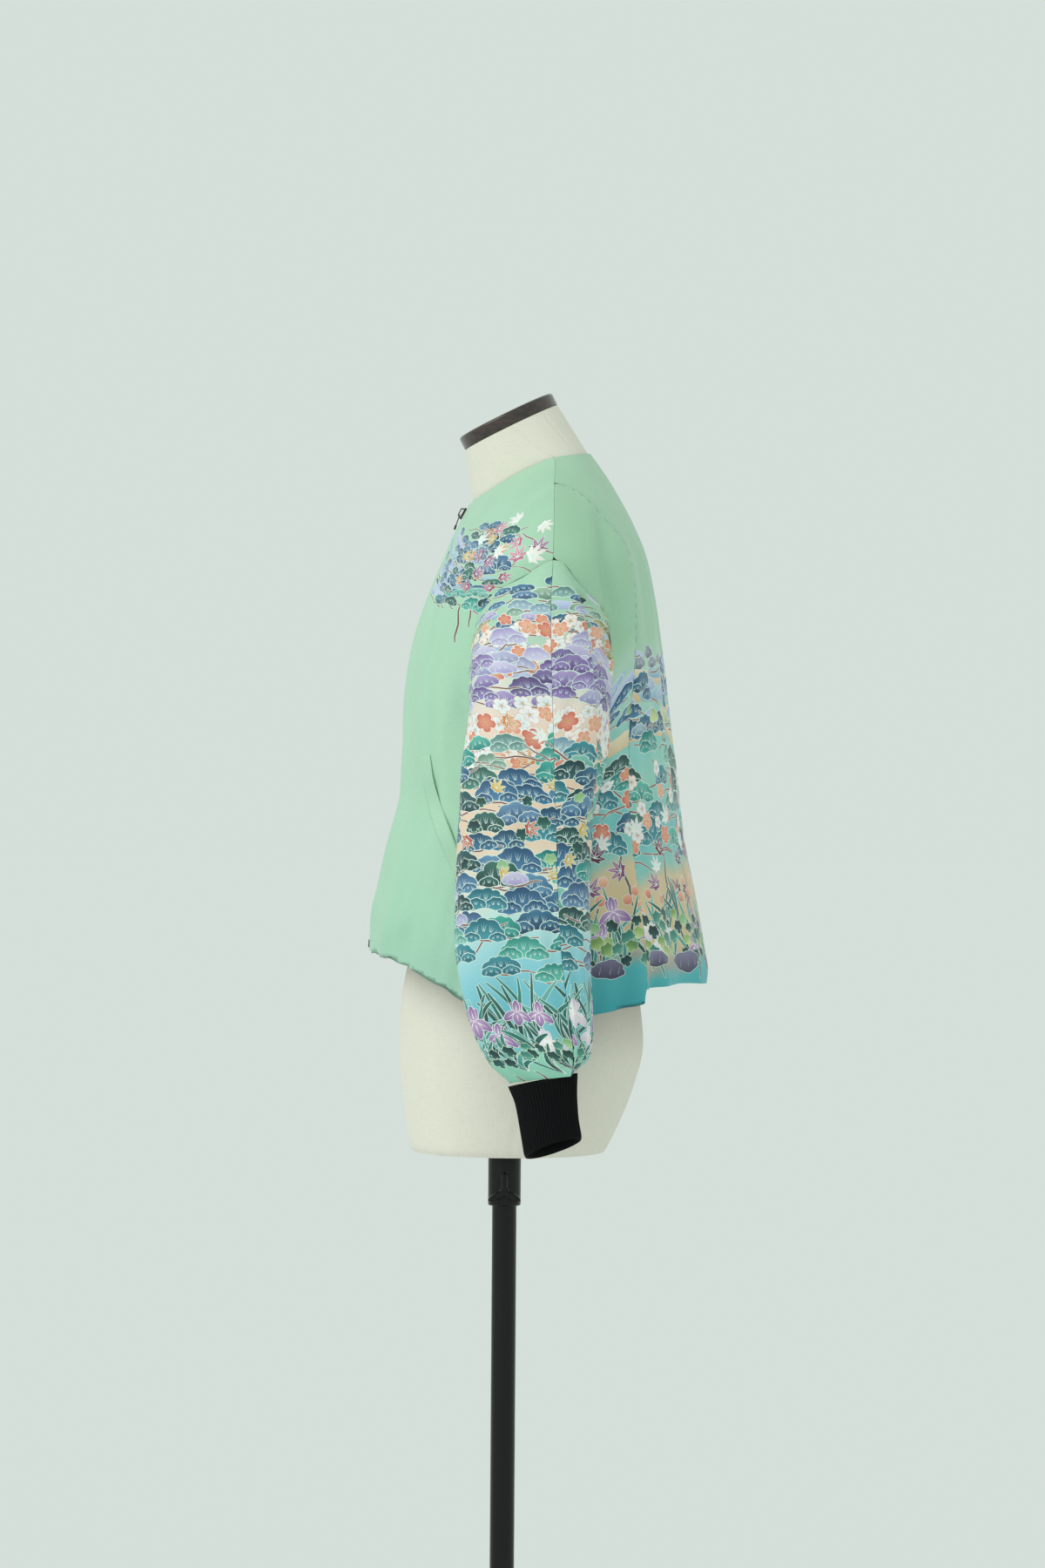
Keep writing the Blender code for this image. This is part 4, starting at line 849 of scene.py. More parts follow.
def mist(pattern, centre, size, palette):
    """A long bank of mist with round ends."""
    deep, light = pattern.random.choice(PALETTES[palette])
    angles = np.linspace(0, 2 * math.pi, 44, endpoint=False)
    power = 4
    reach = (np.abs(np.cos(angles)) ** power + np.abs(np.sin(angles)) ** power) ** (-1 / power)
    wave = 1 + 0.05 * np.sin(5 * angles + pattern.random.uniform(0, 6))
    outline = placed(polar(angles, reach * wave * size / 2) * np.array((1, 0.16)), centre)
    pattern.shape(outline, deep, light, (0, centre[1] + size * 0.08), (0, centre[1] - size * 0.08))


def paint_bands(pattern, bands, low, high):
    """Fills a panel's bands, in staggered rows with some play. Shares of its width run from low to high."""
    rng = pattern.random
    for motif, palettes, top, bottom, from_share, to_share, step_x, step_y, smallest, largest in bands:
        left = low + (high - low) * from_share
        right = low + (high - low) * to_share
        count_x = max(1, round(abs(right - left) / step_x))
        step_x = math.copysign(step_x, right - left)
        for i in range(max(1, round((bottom - top) / step_y))):
            for j in range(count_x + i % 2):
                x = left + (j + 0.5 - 0.5 * (i % 2)) * step_x + rng.uniform(-0.3, 0.3) * step_x
                y = top + (i + 0.5) * step_y + rng.uniform(-0.3, 0.3) * step_y
                y += 7 * math.sin(x / 37 + top)
                size = rng.uniform(smallest, largest)
                palette = rng.choice(palettes.split() or [""])
                MOTIFS[motif](pattern, (x, y), size, palette)


def pad_on_twig(pattern, centre, size, palette):
    rng = pattern.random
    if rng.random() < 0.6:
        side = rng.choice((-1, 1))
        start = (centre[0] - side * size * 0.3, centre[1] + 4)
        length = size * rng.uniform(0.9, 1.3)
        turn = rng.uniform(-0.3, 0.2) if side > 0 else math.pi + 0.1
        twig(pattern, start, length, turn)
    pine_pad(pattern, centre, size, palette, rng.uniform(-0.1, 0.1))


def tuft(pattern, centre, size, palette):
    """Blades that spread from one root."""
    rng = pattern.random
    for turn in sorted(rng.uniform(-0.8, 0.8) for _ in range(4)):
        blade(pattern, centre, size * rng.uniform(0.6, 1.0), turn, rng.uniform(2.6, 4.6), palette)


MOTIFS = {
    "pads": pad_on_twig,
    "blossoms": blossom,
    "maples": maple,
    "ivy": ivy,
    "tufts": tuft,
    "irises": lambda pattern, centre, size, _: iris(pattern, centre, size),
    "discs": disc,
    "rocks": rock,
    "mist": mist,
    "twigs": lambda pattern, centre, size, _: twig(pattern, centre, size, pattern.random.uniform(-0.6, 0.6)),
    "trunks": lambda pattern, centre, size, _: twig(pattern, centre, size, math.pi / 2, 2.6, "#7A5A55"),
}

# What is drawn on each panel: motif, palettes, from and to in millimetres down the flat cut, from and to as
# shares of its width, steps across and down, smallest and largest size. Later rows lie on top.
SLEEVE_GROUND = (
    (0, "#A9D3B5"), (70, "#AAD3B8"), (120, "#C9DACB"), (160, "#EADCCF"), (205, "#EBCFB6"),
    (290, "#E8CDB2"), (345, "#DDE3D3"), (372, "#BCE1DF"), (415, "#8FCFD9"), (450, "#70C0CE"),
    (492, "#79C3CC"), (510, "#8DCBB5"), (545, "#86C4A8"),
)
SLEEVE_BANDS = (
    ("mist", "haze", 40, 120, 0.05, 0.4, 50, 20, 40, 64),
    ("twigs", "", 30, 120, 0.05, 0.42, 46, 26, 26, 44),
    ("pads", "navy sage", 26, 84, 0.0, 0.18, 26, 14, 20, 30),
    ("pads", "olive", 12, 104, 0.3, 0.42, 22, 13, 20, 30),
    ("pads", "sage navy lilac", 14, 70, 0.16, 0.32, 24, 14, 18, 28),
    ("blossoms", "snow", 66, 128, 0.06, 0.46, 18, 14, 12, 18),
    ("blossoms", "salmon", 56, 130, 0.1, 0.42, 27, 18, 13, 19),
    ("pads", "lilac", 86, 124, 0.2, 1, 38, 15, 28, 42),
    ("pads", "purple purple lilac", 104, 164, 0, 1, 33, 14, 28, 42),
    ("blossoms", "snow", 150, 208, 0, 1, 21, 15, 14, 21),
    ("blossoms", "salmon", 152, 216, 0, 1, 31, 20, 15, 22),
    ("maples", "snow rose autumn", 160, 226, 0, 1, 50, 30, 22, 30),
    ("pads", "teal sage", 184, 222, 0, 1, 44, 18, 32, 46),
    ("twigs", "", 206, 384, 0, 1, 44, 22, 44, 74),
    ("pads", "navy teal navy forest", 214, 376, 0, 1, 36, 21, 36, 52),
    ("ivy", "forest leaf", 226, 330, 0, 1, 44, 30, 13, 18),
    ("maples", "autumn", 220, 336, 0, 1, 62, 38, 20, 28),
    ("pads", "spring", 226, 300, 0, 0.16, 30, 22, 28, 38),
    ("pads", "lilac", 330, 366, 0, 1, 90, 24, 22, 30),
    ("pads", "teal navy teal", 378, 436, 0, 1, 46, 24, 38, 52),
    ("tufts", "blade", 470, 520, 0, 1, 21, 20, 46, 70),
    ("irises", "", 446, 496, 0, 1, 44, 25, 26, 36),
    ("tufts", "blade", 500, 524, 0, 1, 30, 16, 26, 40),
    ("ivy", "leaf forest", 494, 514, 0, 1, 16, 10, 12, 17),
    ("trunks", "", 508, 532, 0, 1, 30, 20, 18, 30),
    ("rocks", "rock", 522, 538, 0, 1, 92, 16, 26, 36),
)
BACK_GROUND = (
    (0, "#A2CCAB"), (190, "#A4CFB0"), (215, "#B4D6C2"), (250, "#A8D3C4"), (300, "#8CCDC6"),
    (335, "#99D1C0"), (390, "#74C3C6"), (424, "#8CC8BE"), (438, "#D9C39C"), (505, "#D6BE96"),
    (524, "#A3A79B"), (534, "#4FB3B8"), (580, "#2E9FA8"),
)
BACK_BANDS = (
    ("mist", "sand", 222, 292, 0, 1, 96, 26, 84, 130),
    ("mist", "haze", 206, 240, 0, 1, 90, 22, 70, 110),
    ("twigs", "", 206, 300, 0, 1, 70, 28, 30, 56),
    ("pads", "dusk", 204, 232, 0, 1, 50, 15, 20, 30),
    ("pads", "navy haze navy", 226, 288, 0, 1, 40, 16, 28, 42),
    ("pads", "sage spring", 262, 300, 0, 1, 66, 18, 26, 36),
    ("trunks", "", 392, 470, 0, 1, 60, 44, 50, 76),
    ("twigs", "", 316, 430, 0, 1, 50, 26, 44, 84),
    ("pads", "teal navy forest teal", 304, 430, 0, 1, 50, 23, 38, 56),
    ("blossoms", "salmon", 326, 396, 0, 1, 60, 26, 14, 21),
    ("blossoms", "snow", 322, 400, 0, 1, 62, 26, 12, 18),
    ("maples", "snow", 346, 440, 0, 1, 74, 42, 24, 34),
    ("maples", "plum rose", 400, 456, 0, 1, 52, 26, 26, 36),
    ("discs", "salmon", 440, 476, 0, 1, 30, 15, 9, 14),
    ("tufts", "blade", 486, 534, 0, 1, 28, 24, 48, 70),
    ("irises", "", 470, 512, 0, 1, 56, 24, 26, 36),
    ("ivy", "leaf forest spring", 474, 520, 0, 1, 19, 12, 13, 20),
    ("rocks", "rock", 518, 534, 0, 1, 58, 14, 28, 44),
)
FRONT_GROUND = (
    (0, "#A9D3B5"), (120, "#ABD6B8"), (330, "#A9D4B6"), (470, "#A6D2B6"), (560, "#9DCBB3"),
)
FRONT_BANDS = (
    ("mist", "haze", 40, 120, 0.26, 0.6, 60, 24, 50, 80),
    ("trunks", "", 112, 150, 0.52, 0.7, 20, 40, 34, 50),
    ("twigs", "", 10, 120, 0.28, 0.8, 40, 28, 34, 56),
    ("pads", "haze navy", 30, 128, 0.24, 0.48, 27, 15, 24, 38),
    ("pads", "forest navy", 6, 130, 0.44, 0.72, 27, 15, 24, 38),
    ("maples", "autumn", -10, 90, 0.46, 0.7, 38, 34, 26, 34),
    ("maples", "rose", 0, 130, 0.56, 0.84, 36, 30, 26, 36),
    ("maples", "snow", -30, 60, 0.56, 0.8, 44, 36, 28, 36),
    ("pads", "teal forest", 104, 132, 0.4, 0.7, 34, 16, 26, 36),
)
SIDE_BANDS = tuple(row for row in BACK_BANDS if row[2] > 205)
WELT_SILK = "#A9D3B5"
# Creases: from x, y to x, y on the flat cut, half width and height in millimetres
FRONT_CREASES = (
    (60, 250, 52, 520, 14, 3.2), (96, 200, 90, 430, 12, -2.4), (136, 180, 124, 420, 14, 2.8),
    (18, 300, 30, 545, 9, 1.8), (190, 470, 70, 545, 16, 2.6), (210, 150, 160, 330, 13, 2.4),
    (250, 180, 236, 400, 12, -2.0),
)
BACK_CREASES = (
    (-120, 60, -96, 320, 18, 2.6), (-60, 90, -70, 420, 20, -2.2), (30, 60, 44, 380, 18, 2.2),
    (110, 80, 104, 400, 18, 2.4), (-110, 340, -80, 540, 14, -2.4), (84, 360, 96, 540, 14, 2.4),
)
SIDE_CREASES = ((-50, 380, -44, 545, 9, 1.8), (-24, 250, -20, 420, 8, -1.5))
SLEEVE_FRONT_CREASES = (
    (30, 70, 44, 330, 12, 2.6), (64, 60, 70, 250, 11, -2.2), (96, 150, 84, 400, 12, 2.6),
    (20, 330, 14, 500, 8, 2.2), (54, 380, 48, 515, 8, -2.0), (120, 220, 128, 420, 12, 2.2),
    (-20, 60, -8, 200, 9, 1.8),
)
SLEEVE_BACK_CREASES = (
    (-34, 90, -24, 300, 10, 2.0), (-22, 250, -26, 505, 7, -2.4), (-60, 330, -50, 510, 9, 2.2),
    (-96, 200, -90, 420, 10, 2.0), (30, 70, 14, 240, 8, -1.8),
)

# Cloth with its pattern cut into the mesh


LINE_SLACK = 0.08  # how far a straightened line may leave the drawn one, in millimetres
LINE_LENGTH = 6  # the longest edge that is still joined to its neighbour
EDGE_CLEAR = 2.2  # distance of the grid's points from the panel's edge
REVERSE_STEP = 7  # distance between the points of the plain reverse
REVERSE_CLEAR = 3


def triangulated(points, edges, outlines):
    """Delaunay triangles inside the first outline, which follow all outlines and edges.

    Gives the points, the triangles, the last outline that each lies in, and where each given point ended up.
    """
    vectors = [Vector(point) for point in points.tolist()]
    found, _, triangles, given, _, owners = delaunay_2d_cdt(vectors, edges, outlines, 1, 1e-5, True)
    moved = np.zeros(len(points), int)
    for index, numbers in enumerate(given):
        for number in numbers:
            moved[number] = index
    chosen = [0 in owner for owner in owners]
    top = np.array([max(owner, default=0) for owner in owners])
    return np.array([tuple(point) for point in found]), np.array(triangles)[chosen], top[chosen], moved


def grid_inside(outline, step, margin):
    """Staggered points inside an outline, clear of its edge."""
    low, high = outline.min(axis=0), outline.max(axis=0)
    columns = np.arange(low[0], high[0], step)
    rows = np.arange(low[1], high[1], step * 0.87)
    x, y = np.meshgrid(columns, rows)
    x = x + (np.arange(len(rows)) % 2)[:, None] * step / 2
    points = np.stack([x.ravel(), y.ravel()], axis=1)
    points = points[inside(points, outline)]
    away = []
    for part in np.array_split(points, 40):
        away.append(np.abs(part[:, None] - outline[None]).max(axis=2).min(axis=1))
    return points[np.concatenate(away) >= margin]


def sides_of(triangles):
    """The edges of triangles, from point to point."""
    numbers = np.asarray(triangles, np.int64)
    return np.concatenate([numbers[:, [0, 1]], numbers[:, [1, 2]], numbers[:, [2, 0]]])


def edge_loop(triangles):
    """The outer edge of a flat mesh of anticlockwise triangles, as one loop of point numbers."""
    edges = sides_of(triangles)
    many = edges.max() + 1
    outer = edges[~np.isin(edges[:, 0] * many + edges[:, 1], edges[:, 1] * many + edges[:, 0])]
    after = dict(outer.tolist())
    start = next(iter(after))
    loop = [start]
    while after[loop[-1]] != start:
        loop.append(after[loop[-1]])
    if len(loop) != len(after):
        raise RuntimeError(f"the panel's edge is not one loop: {len(loop)} of {len(after)} points")
    return loop


def borders(triangles, top):
    """The edges between triangles that show different outlines, the outer edges too, and the outer points."""
    edges = sides_of(triangles)
    many = edges.max() + 1
    keys = edges.min(axis=1) * many + edges.max(axis=1)
    order = np.argsort(keys, kind="stable")
    keys, sides = keys[order], np.tile(top, 3)[order]
    starts = np.flatnonzero(np.r_[True, keys[1:] != keys[:-1]])
    paired = np.diff(np.r_[starts, len(keys)]) == 2
    other = np.minimum(starts + 1, len(keys) - 1)
    wanted = keys[starts[~(paired & (sides[starts] == sides[other]))]]
    outer = keys[starts[~paired]]
    return np.stack([wanted // many, wanted % many], axis=1), set(np.r_[outer // many, outer % many].tolist())


def straightened(points, edges, fixed):
    """The edges without loose points that lie almost on the line between their two neighbours."""
    near = {}
    for a, b in edges.tolist():
        near.setdefault(a, []).append(b)
        near.setdefault(b, []).append(a)
    places = points.tolist()
    for here in list(near):
        if len(near[here]) != 2 or here in fixed:
            continue
        a, b = near[here]
        (ax, ay), (bx, by), (x, y) = places[a], places[b], places[here]
        across, down = bx - ax, by - ay
        length = math.hypot(across, down)
        beside = abs(across * (y - ay) - down * (x - ax))
        if a == b or b in near[a] or length > LINE_LENGTH or beside > LINE_SLACK * length:
            continue
        near[a][near[a].index(here)] = b
        near[b][near[b].index(here)] = a
        del near[here]
    return np.array([(a, b) for a, others in near.items() for b in others if a < b])


def visible_mesh(outline, pattern, step):
    """Triangles of a panel that follow its pattern's visible lines, and the outline that each one shows."""
    starts = np.cumsum([0] + [len(shape) for shape in pattern.outlines])[:-1]
    within = [inside(part, outline) for part in np.array_split(np.concatenate(pattern.outlines), 60)]
    chosen = np.flatnonzero(np.logical_or.reduceat(np.concatenate(within), starts))
    pattern.paints = [pattern.paints[number] for number in chosen]
    shapes = [outline] + [pattern.outlines[number] for number in chosen]
    faces, at = [], 0
    for shape in shapes:
        faces.append(list(range(at, at + len(shape))))
        at += len(shape)
    points, triangles, top, _ = triangulated(np.concatenate(shapes), [], faces)
    edges = straightened(points, *borders(triangles, top))
    lines, numbers = kept(points, edges)
    grid = grid_inside(outline, step, EDGE_CLEAR)
    loop = np.searchsorted(np.unique(edges), edge_loop(triangles)).tolist()
    found, result, _, _ = triangulated(np.concatenate([lines, grid]), numbers.tolist(), [loop])
    tree = flat_tree(points, triangles)
    middles = found[result].mean(axis=1)
    shows = top[[tree.find_nearest((x, y, 0))[2] for x, y in middles.tolist()]]
    found, result = kept(found, result)
    return found, result, shows


def kept(points, polygons):
    """Drops the points that no polygon uses."""
    used, numbers = np.unique(polygons, return_inverse=True)
    return points[used], numbers.reshape(polygons.shape)


def ground_colour(stops, flat, waves):
    """The dyed ground: colour stops down the panel with a slow wave across it."""
    wave = 9 * np.sin(flat[:, 0] / 41 + waves[0]) + 5 * np.sin(flat[:, 0] / 17 + flat[:, 1] / 60 + waves[1])
    levels = [level for level, _ in stops]
    colours = np.array([linear(colour) for _, colour in stops])
    return np.stack([np.interp(flat[:, 1] + wave, levels, colours[:, k]) for k in range(3)], axis=1)


def corner_colours(pattern, shows, flat, ground):
    """The colour at every corner of the triangles, from the outline that each shows."""
    top = shows - 1
    result = ground.copy()
    columns = (np.array([paint[k] for paint in pattern.paints], float) for k in range(5))
    first, second, start, end, radial = columns
    drawn = top >= 0
    number = top[drawn][:, None].repeat(3, axis=1)
    offset, axis = flat[drawn] - start[number], end[number] - start[number]
    length = np.maximum((axis**2).sum(axis=-1), 1e-9)
    along = (offset * axis).sum(axis=-1) / length
    share = np.where(radial[number] > 0, np.sqrt((offset**2).sum(axis=-1) / length), along)
    share = np.clip(share, 0, 1)[..., None]
    result[drawn] = first[number] * (1 - share) + second[number] * share
    return result


class Relief:
    """Low creases and seam puckers over a panel, in millimetres of height at places of its flat cut."""

    def __init__(self, seed, creases, amount, calm_above):
        play = random.Random(seed)
        self.creases, self.calm_above = creases, calm_above
        self.waves = []
        for _ in range(9):
            across, down = play.uniform(22, 70), play.uniform(80, 260)
            lean = play.uniform(-0.5, 0.5)
            height = amount * play.uniform(0.4, 1.0)
            self.waves.append((2 * math.pi / across, lean * 2 * math.pi / down, play.uniform(0, 6), height))

    def height(self, flat, edge):
        x, y = flat[:, 0], flat[:, 1]
        total = np.zeros(len(flat))
        for across, down, phase, height in self.waves:
            total = total + height * np.sin(across * x + down * y + phase + 0.6 * np.sin(y / 47 + phase))
        for x_a, y_a, x_b, y_b, width, height in self.creases:
            axis = np.array((x_b - x_a, y_b - y_a), float)
            long = np.dot(axis, axis)
            along = ((x - x_a) * axis[0] + (y - y_a) * axis[1]) / long
            beside = ((x - x_a) * axis[1] - (y - y_a) * axis[0]) / math.sqrt(long) / width
            ends = ramp(along * 3) * ramp((1 - along) * 3)
            total = total + height * ends * np.exp(-(beside**2))
        total = total * (0.15 + 0.85 * ramp((y - self.calm_above + 100) / 100))
        calm = ramp(edge / 14)
        pucker = 0.22 * np.sin(y / 1.9 + 2 * np.sin(y / 23)) * np.exp(-((edge / 6) ** 2))
        return total * (0.25 + 0.75 * calm) - 0.75 * np.exp(-((edge / 1.8) ** 2)) + pucker


def panel_piece(name, cut, pattern, ground, relief, flip):
    """A cloth panel: its outer side with the pattern, its plain reverse and the edge between them."""
    settings = bpy.context.scene.jacket_sizes
    outline = cut.outline()
    points, triangles, shows = visible_mesh(outline, pattern, settings.cloth_step / MM)
    loop = edge_loop(triangles)
    edge = points[loop]
    reverse = np.concatenate([edge, grid_inside(outline, REVERSE_STEP, REVERSE_CLEAR)])
    back_points, back, _, moved = triangulated(reverse, [], [list(range(len(edge)))])

    def raised(flat):
        place = cut.place(flat)
        distance = cut.seam_distance(flat, place)
        height = relief.height(flat, distance)
        step = 0.4
        by_x = (relief.height(flat + (step, 0), distance) - height) / step
        by_y = (relief.height(flat + (0, step), distance) - height) / step
        out = unit(between(cut.out, place))
        lean = between(cut.across, place) * by_x[:, None] + between(cut.down, place) * by_y[:, None]
        return between(cut.points, place) + out * height[:, None] * MM, unit(out - lean)

    outer, outer_out = raised(points)
    inner, inner_out = raised(back_points)
    inner -= inner_out * settings.cloth_wall
    count = len(outer)
    back = (back[:, ::-1] + count).tolist()
    rim = []
    for number, here in enumerate(loop):
        after = (number + 1) % len(loop)
        rim.append((loop[after], here, count + moved[number], count + moved[after]))
    flat = np.concatenate([points, back_points])
    place = np.concatenate([outer, inner])
    normal = np.concatenate([outer_out, -inner_out])
    if flip:
        place, normal = place * (-1, 1, 1), normal * (-1, 1, 1)
    faces = triangles.tolist() + back + rim
    # The flat cut has y down, so a panel whose x runs with its surface's turn comes out facing inwards.
    a, b, c = (place[faces[0][k]] for k in range(3))
    if np.dot(np.cross(b - a, c - a), normal[faces[0][0]]) < 0:
        faces = [face[::-1] for face in faces]
    mesh = bpy.data.meshes.new(name)
    mesh.from_pydata(place.tolist(), [], faces)
    mesh.shade_smooth()
    mesh.normals_split_custom_set_from_vertices(normal.tolist())
    corners = np.empty(len(mesh.loops), np.int32)
    mesh.loops.foreach_get("vertex_index", corners)
    mesh.uv_layers.new(name="cloth").data.foreach_set("uv", (flat[corners] * MM).ravel())
    waves = (relief.waves[0][2], relief.waves[1][2])
    colours = np.ones((len(corners), 4))
    colours[:, :3] = ground_colour(ground, flat[corners], waves)
    front = len(triangles) * 3
    of_corner = colours[:front, :3].reshape(-1, 3, 3)
    numbers = corners[:front].reshape(-1, 3)
    colours[:front, :3] = corner_colours(pattern, shows, flat[numbers], of_corner).reshape(-1, 3)
    mesh.color_attributes.new("print", "FLOAT_COLOR", "CORNER").data.foreach_set("color", colours.ravel())
    material = np.zeros(len(faces), np.int32)
    material[len(triangles) : len(triangles) + len(back)] = 1
    mesh.polygons.foreach_set("material_index", material)
    a, b, c = (outer[triangles[:, k]] for k in range(3))
    area = np.linalg.norm(np.cross(b - a, c - a), axis=1).sum() / 2
    extent = (points.max(axis=0) - points.min(axis=0)) * MM
    return linked(name, mesh), tuple(extent), area

# Materials

NOISE, WAVE, CHECKER = "ShaderNodeTexNoise", "ShaderNodeTexWave", "ShaderNodeTexChecker"


def fill(tree, node, inputs):
    """Gives a node's inputs their values or links."""
    for name, value in inputs.items():
        socket = node.inputs[name]
        if isinstance(value, bpy.types.NodeSocket):
            tree.links.new(value, socket)
        else:
            socket.default_value = value


def add_node(tree, kind, settings=None, inputs=None):
    """Adds a node, with its settings and with values or links for its inputs."""
    node = tree.nodes.new(kind)
    for name, value in (settings or {}).items():
        setattr(node, name, value)
    fill(tree, node, inputs or {})
    return node


def new_material(name, map_name=None):
    """A material, its node tree, its Principled shader and the metres that its patterns run over."""
    made = bpy.data.materials.new(name)
    made.use_nodes = True
    tree = made.node_tree
    shader = next(node for node in tree.nodes if node.type == "BSDF_PRINCIPLED")
    if map_name:
        place = add_node(tree, "ShaderNodeUVMap", {"uv_map": map_name}).outputs["UV"]
    else:
        place = add_node(tree, "ShaderNodeTexCoord").outputs["Object"]
    return made, tree, shader, place


def texture(tree, kind, place, sizes, settings=None, **inputs):
    """A texture's value, over coordinates that run from 0 to 1 over these sizes in metres."""
    ends = {0: place, 1: tuple(1 / size for size in sizes)}
    scaled = add_node(tree, "ShaderNodeVectorMath", {"operation": "MULTIPLY"}, ends).outputs[0]
    return add_node(tree, kind, settings, {"Vector": scaled, "Scale": 1.0, **inputs}).outputs["Fac"]


def tinted(tree, colour, factor, low, high):
    """A colour made darker or lighter by a pattern's value."""
    ends = {"Value": factor, "To Min": low, "To Max": high}
    share = add_node(tree, "ShaderNodeMapRange", {}, ends).outputs[0]
    scaled = {0: colour, "Scale": share}
    return add_node(tree, "ShaderNodeVectorMath", {"operation": "SCALE"}, scaled).outputs[0]


def dress(tree, shader, colour, rough, bump=None, others=None):
    """Sets a shader. rough is a constant or a value and its range, bump a height, strength and depth."""
    inputs = {"Base Color": colour, "Roughness": rough, **(others or {})}
    if isinstance(rough, tuple):
        values = dict(zip(("Value", "To Min", "To Max"), rough))
        inputs["Roughness"] = add_node(tree, "ShaderNodeMapRange", {}, values).outputs["Result"]
    if bump:
        values = dict(zip(("Height", "Strength", "Distance"), bump))
        inputs["Normal"] = add_node(tree, "ShaderNodeBump", {}, values).outputs["Normal"]
    fill(tree, shader, inputs)


def patterned_silk(_):
    """Crepe-woven, resist-dyed kimono silk: soft sheen, a pebbled surface and slightly uneven dye."""
    made, tree, shader, cloth = new_material("resist-dyed crepe silk", "cloth")
    printed = add_node(tree, "ShaderNodeVertexColor", {"layer_name": "print"}).outputs["Color"]
    # Crepe's pebbles are about 0.7 mm apart. They are drawn at 1.8 mm so that they show.
    pebbles = texture(tree, NOISE, cloth, (0.0018, 0.0018, 1), Detail=3.0)
    # The ribs of the weft run across the cloth, about 0.5 mm apart and drawn at 1.2 mm.
    ribs = texture(tree, NOISE, cloth, (0.009, 0.0012, 1), Detail=1.5)
    dye = texture(tree, NOISE, cloth, (0.05, 0.09, 1), Detail=2.0)
    grain = add_node(tree, "ShaderNodeMath", {"operation": "ADD"}, {0: pebbles, 1: ribs}).outputs[0]
    colour = tinted(tree, tinted(tree, printed, dye, 0.95, 1.07), grain, 0.9, 1.05)
    sheen = {"Sheen Weight": 0.12, "Sheen Roughness": 0.4}
    dress(tree, shader, colour, (pebbles, 0.40, 0.56), (grain, 0.32, 0.0006), sheen)
    return made


def silk_reverse(colours):
    """The undyed backing of the silk: a plain dark green weave, flat and dull."""
    made, tree, shader, cloth = new_material("plain-woven silk backing", "cloth")
    # Threads 0.4 mm apart, drawn at 1.1 mm.
    weave = texture(tree, CHECKER, cloth, (0.0011, 0.0011, 1))
    cloudy = texture(tree, NOISE, cloth, (0.03, 0.03, 1))
    colour = tinted(tree, tinted(tree, tuple(colours.silk_reverse), weave, 0.9, 1.06), cloudy, 0.85, 1.15)
    dress(tree, shader, colour, 0.75, (weave, 0.15, 0.0003))
    return made


def rib_knit(colours):
    """Black acrylic rib knit: very dull, with a light fuzz along its ribs."""
    made, tree, shader, cloth = new_material("ribbed acrylic knit", "knit")
    # One stitch is about 1.6 mm high; the map's first axis counts ribs, so a stitch is half a rib wide.
    bands = {"wave_type": "BANDS", "bands_direction": "Y"}
    stitch = texture(tree, WAVE, cloth, (1, 0.0016, 1), bands, Scale=0.32, Distortion=0.8, Detail=1.0)
    fuzz = texture(tree, NOISE, cloth, (0.4, 0.0009, 1), Detail=4.0)
    colour = tinted(tree, tinted(tree, tuple(colours.rib_black), stitch, 0.55, 1.35), fuzz, 0.6, 1.5)
    dull = {"Sheen Weight": 0.03, "Sheen Roughness": 0.6, "Specular IOR Level": 0.12}
    raised = add_node(tree, "ShaderNodeMath", {"operation": "ADD"}, {0: stitch, 1: fuzz}).outputs[0]
    dress(tree, shader, colour, 0.88, (raised, 0.5, 0.0005), dull)
    return made


def zip_tape_cloth(colours):
    """Woven polyester tape: black, with a fine herringbone that repeats every 1.5 mm."""
    made, tree, shader, place = new_material("woven polyester tape")
    bands = {"wave_type": "BANDS", "bands_direction": "DIAGONAL"}
    weave = texture(tree, WAVE, place, (0.0015, 0.0015, 0.0015), bands, Scale=0.32)
    colour = tinted(tree, tuple(colours.tape_black), weave, 0.7, 1.3)
    dress(tree, shader, colour, 0.7, (weave, 0.3, 0.0003))
    return made


def oxidised_zinc(colours):
    """Die-cast zip metal with a black oxide coat: half gloss, rubbed lighter along raised edges."""
    made, tree, shader, place = new_material("black-oxidised zinc casting")
    rub = texture(tree, NOISE, place, (0.003, 0.003, 0.003), Detail=5.0)
    edges = add_node(tree, "ShaderNodeNewGeometry").outputs["Pointiness"]
    raised = {"Value": edges, "From Min": 0.52, "From Max": 0.62}
    worn = add_node(tree, "ShaderNodeMapRange", {}, raised).outputs[0]
    ends = {"A": (*colours.metal_black, 1), "B": (*linear("#6E6A66"), 1)}
    share = add_node(tree, "ShaderNodeMath", {"operation": "MULTIPLY"}, {0: worn, 1: rub}).outputs[0]
    colour = add_node(tree, "ShaderNodeMix", {"data_type": "RGBA"}, {"Factor": share, **ends})
    dress(tree, shader, colour.outputs["Result"], (rub, 0.25, 0.45), None, {"Metallic": 0.9})
    return made


def linen_cover(colours):
    """Cream linen stretched over the form: plain weave with slubs, and no shine."""
    made, tree, shader, cloth = new_material("plain-woven linen", "linen")
    # Linen threads are about 0.6 mm apart; they are drawn at 1.3 mm, with slubs 12 mm long.
    warp = texture(tree, NOISE, cloth, (0.0013, 0.012, 1), Detail=2.0)
    weft = texture(tree, NOISE, cloth, (0.012, 0.0013, 1), Detail=2.0)
    weave = add_node(tree, "ShaderNodeMath", {"operation": "ADD"}, {0: warp, 1: weft}).outputs[0]
    age = texture(tree, NOISE, cloth, (0.08, 0.08, 1), Detail=3.0)
    colour = tinted(tree, tinted(tree, tuple(colours.linen), weave, 0.84, 1.06), age, 0.95, 1.05)
    dress(tree, shader, colour, 0.82, (weave, 0.3, 0.0005))
    return made


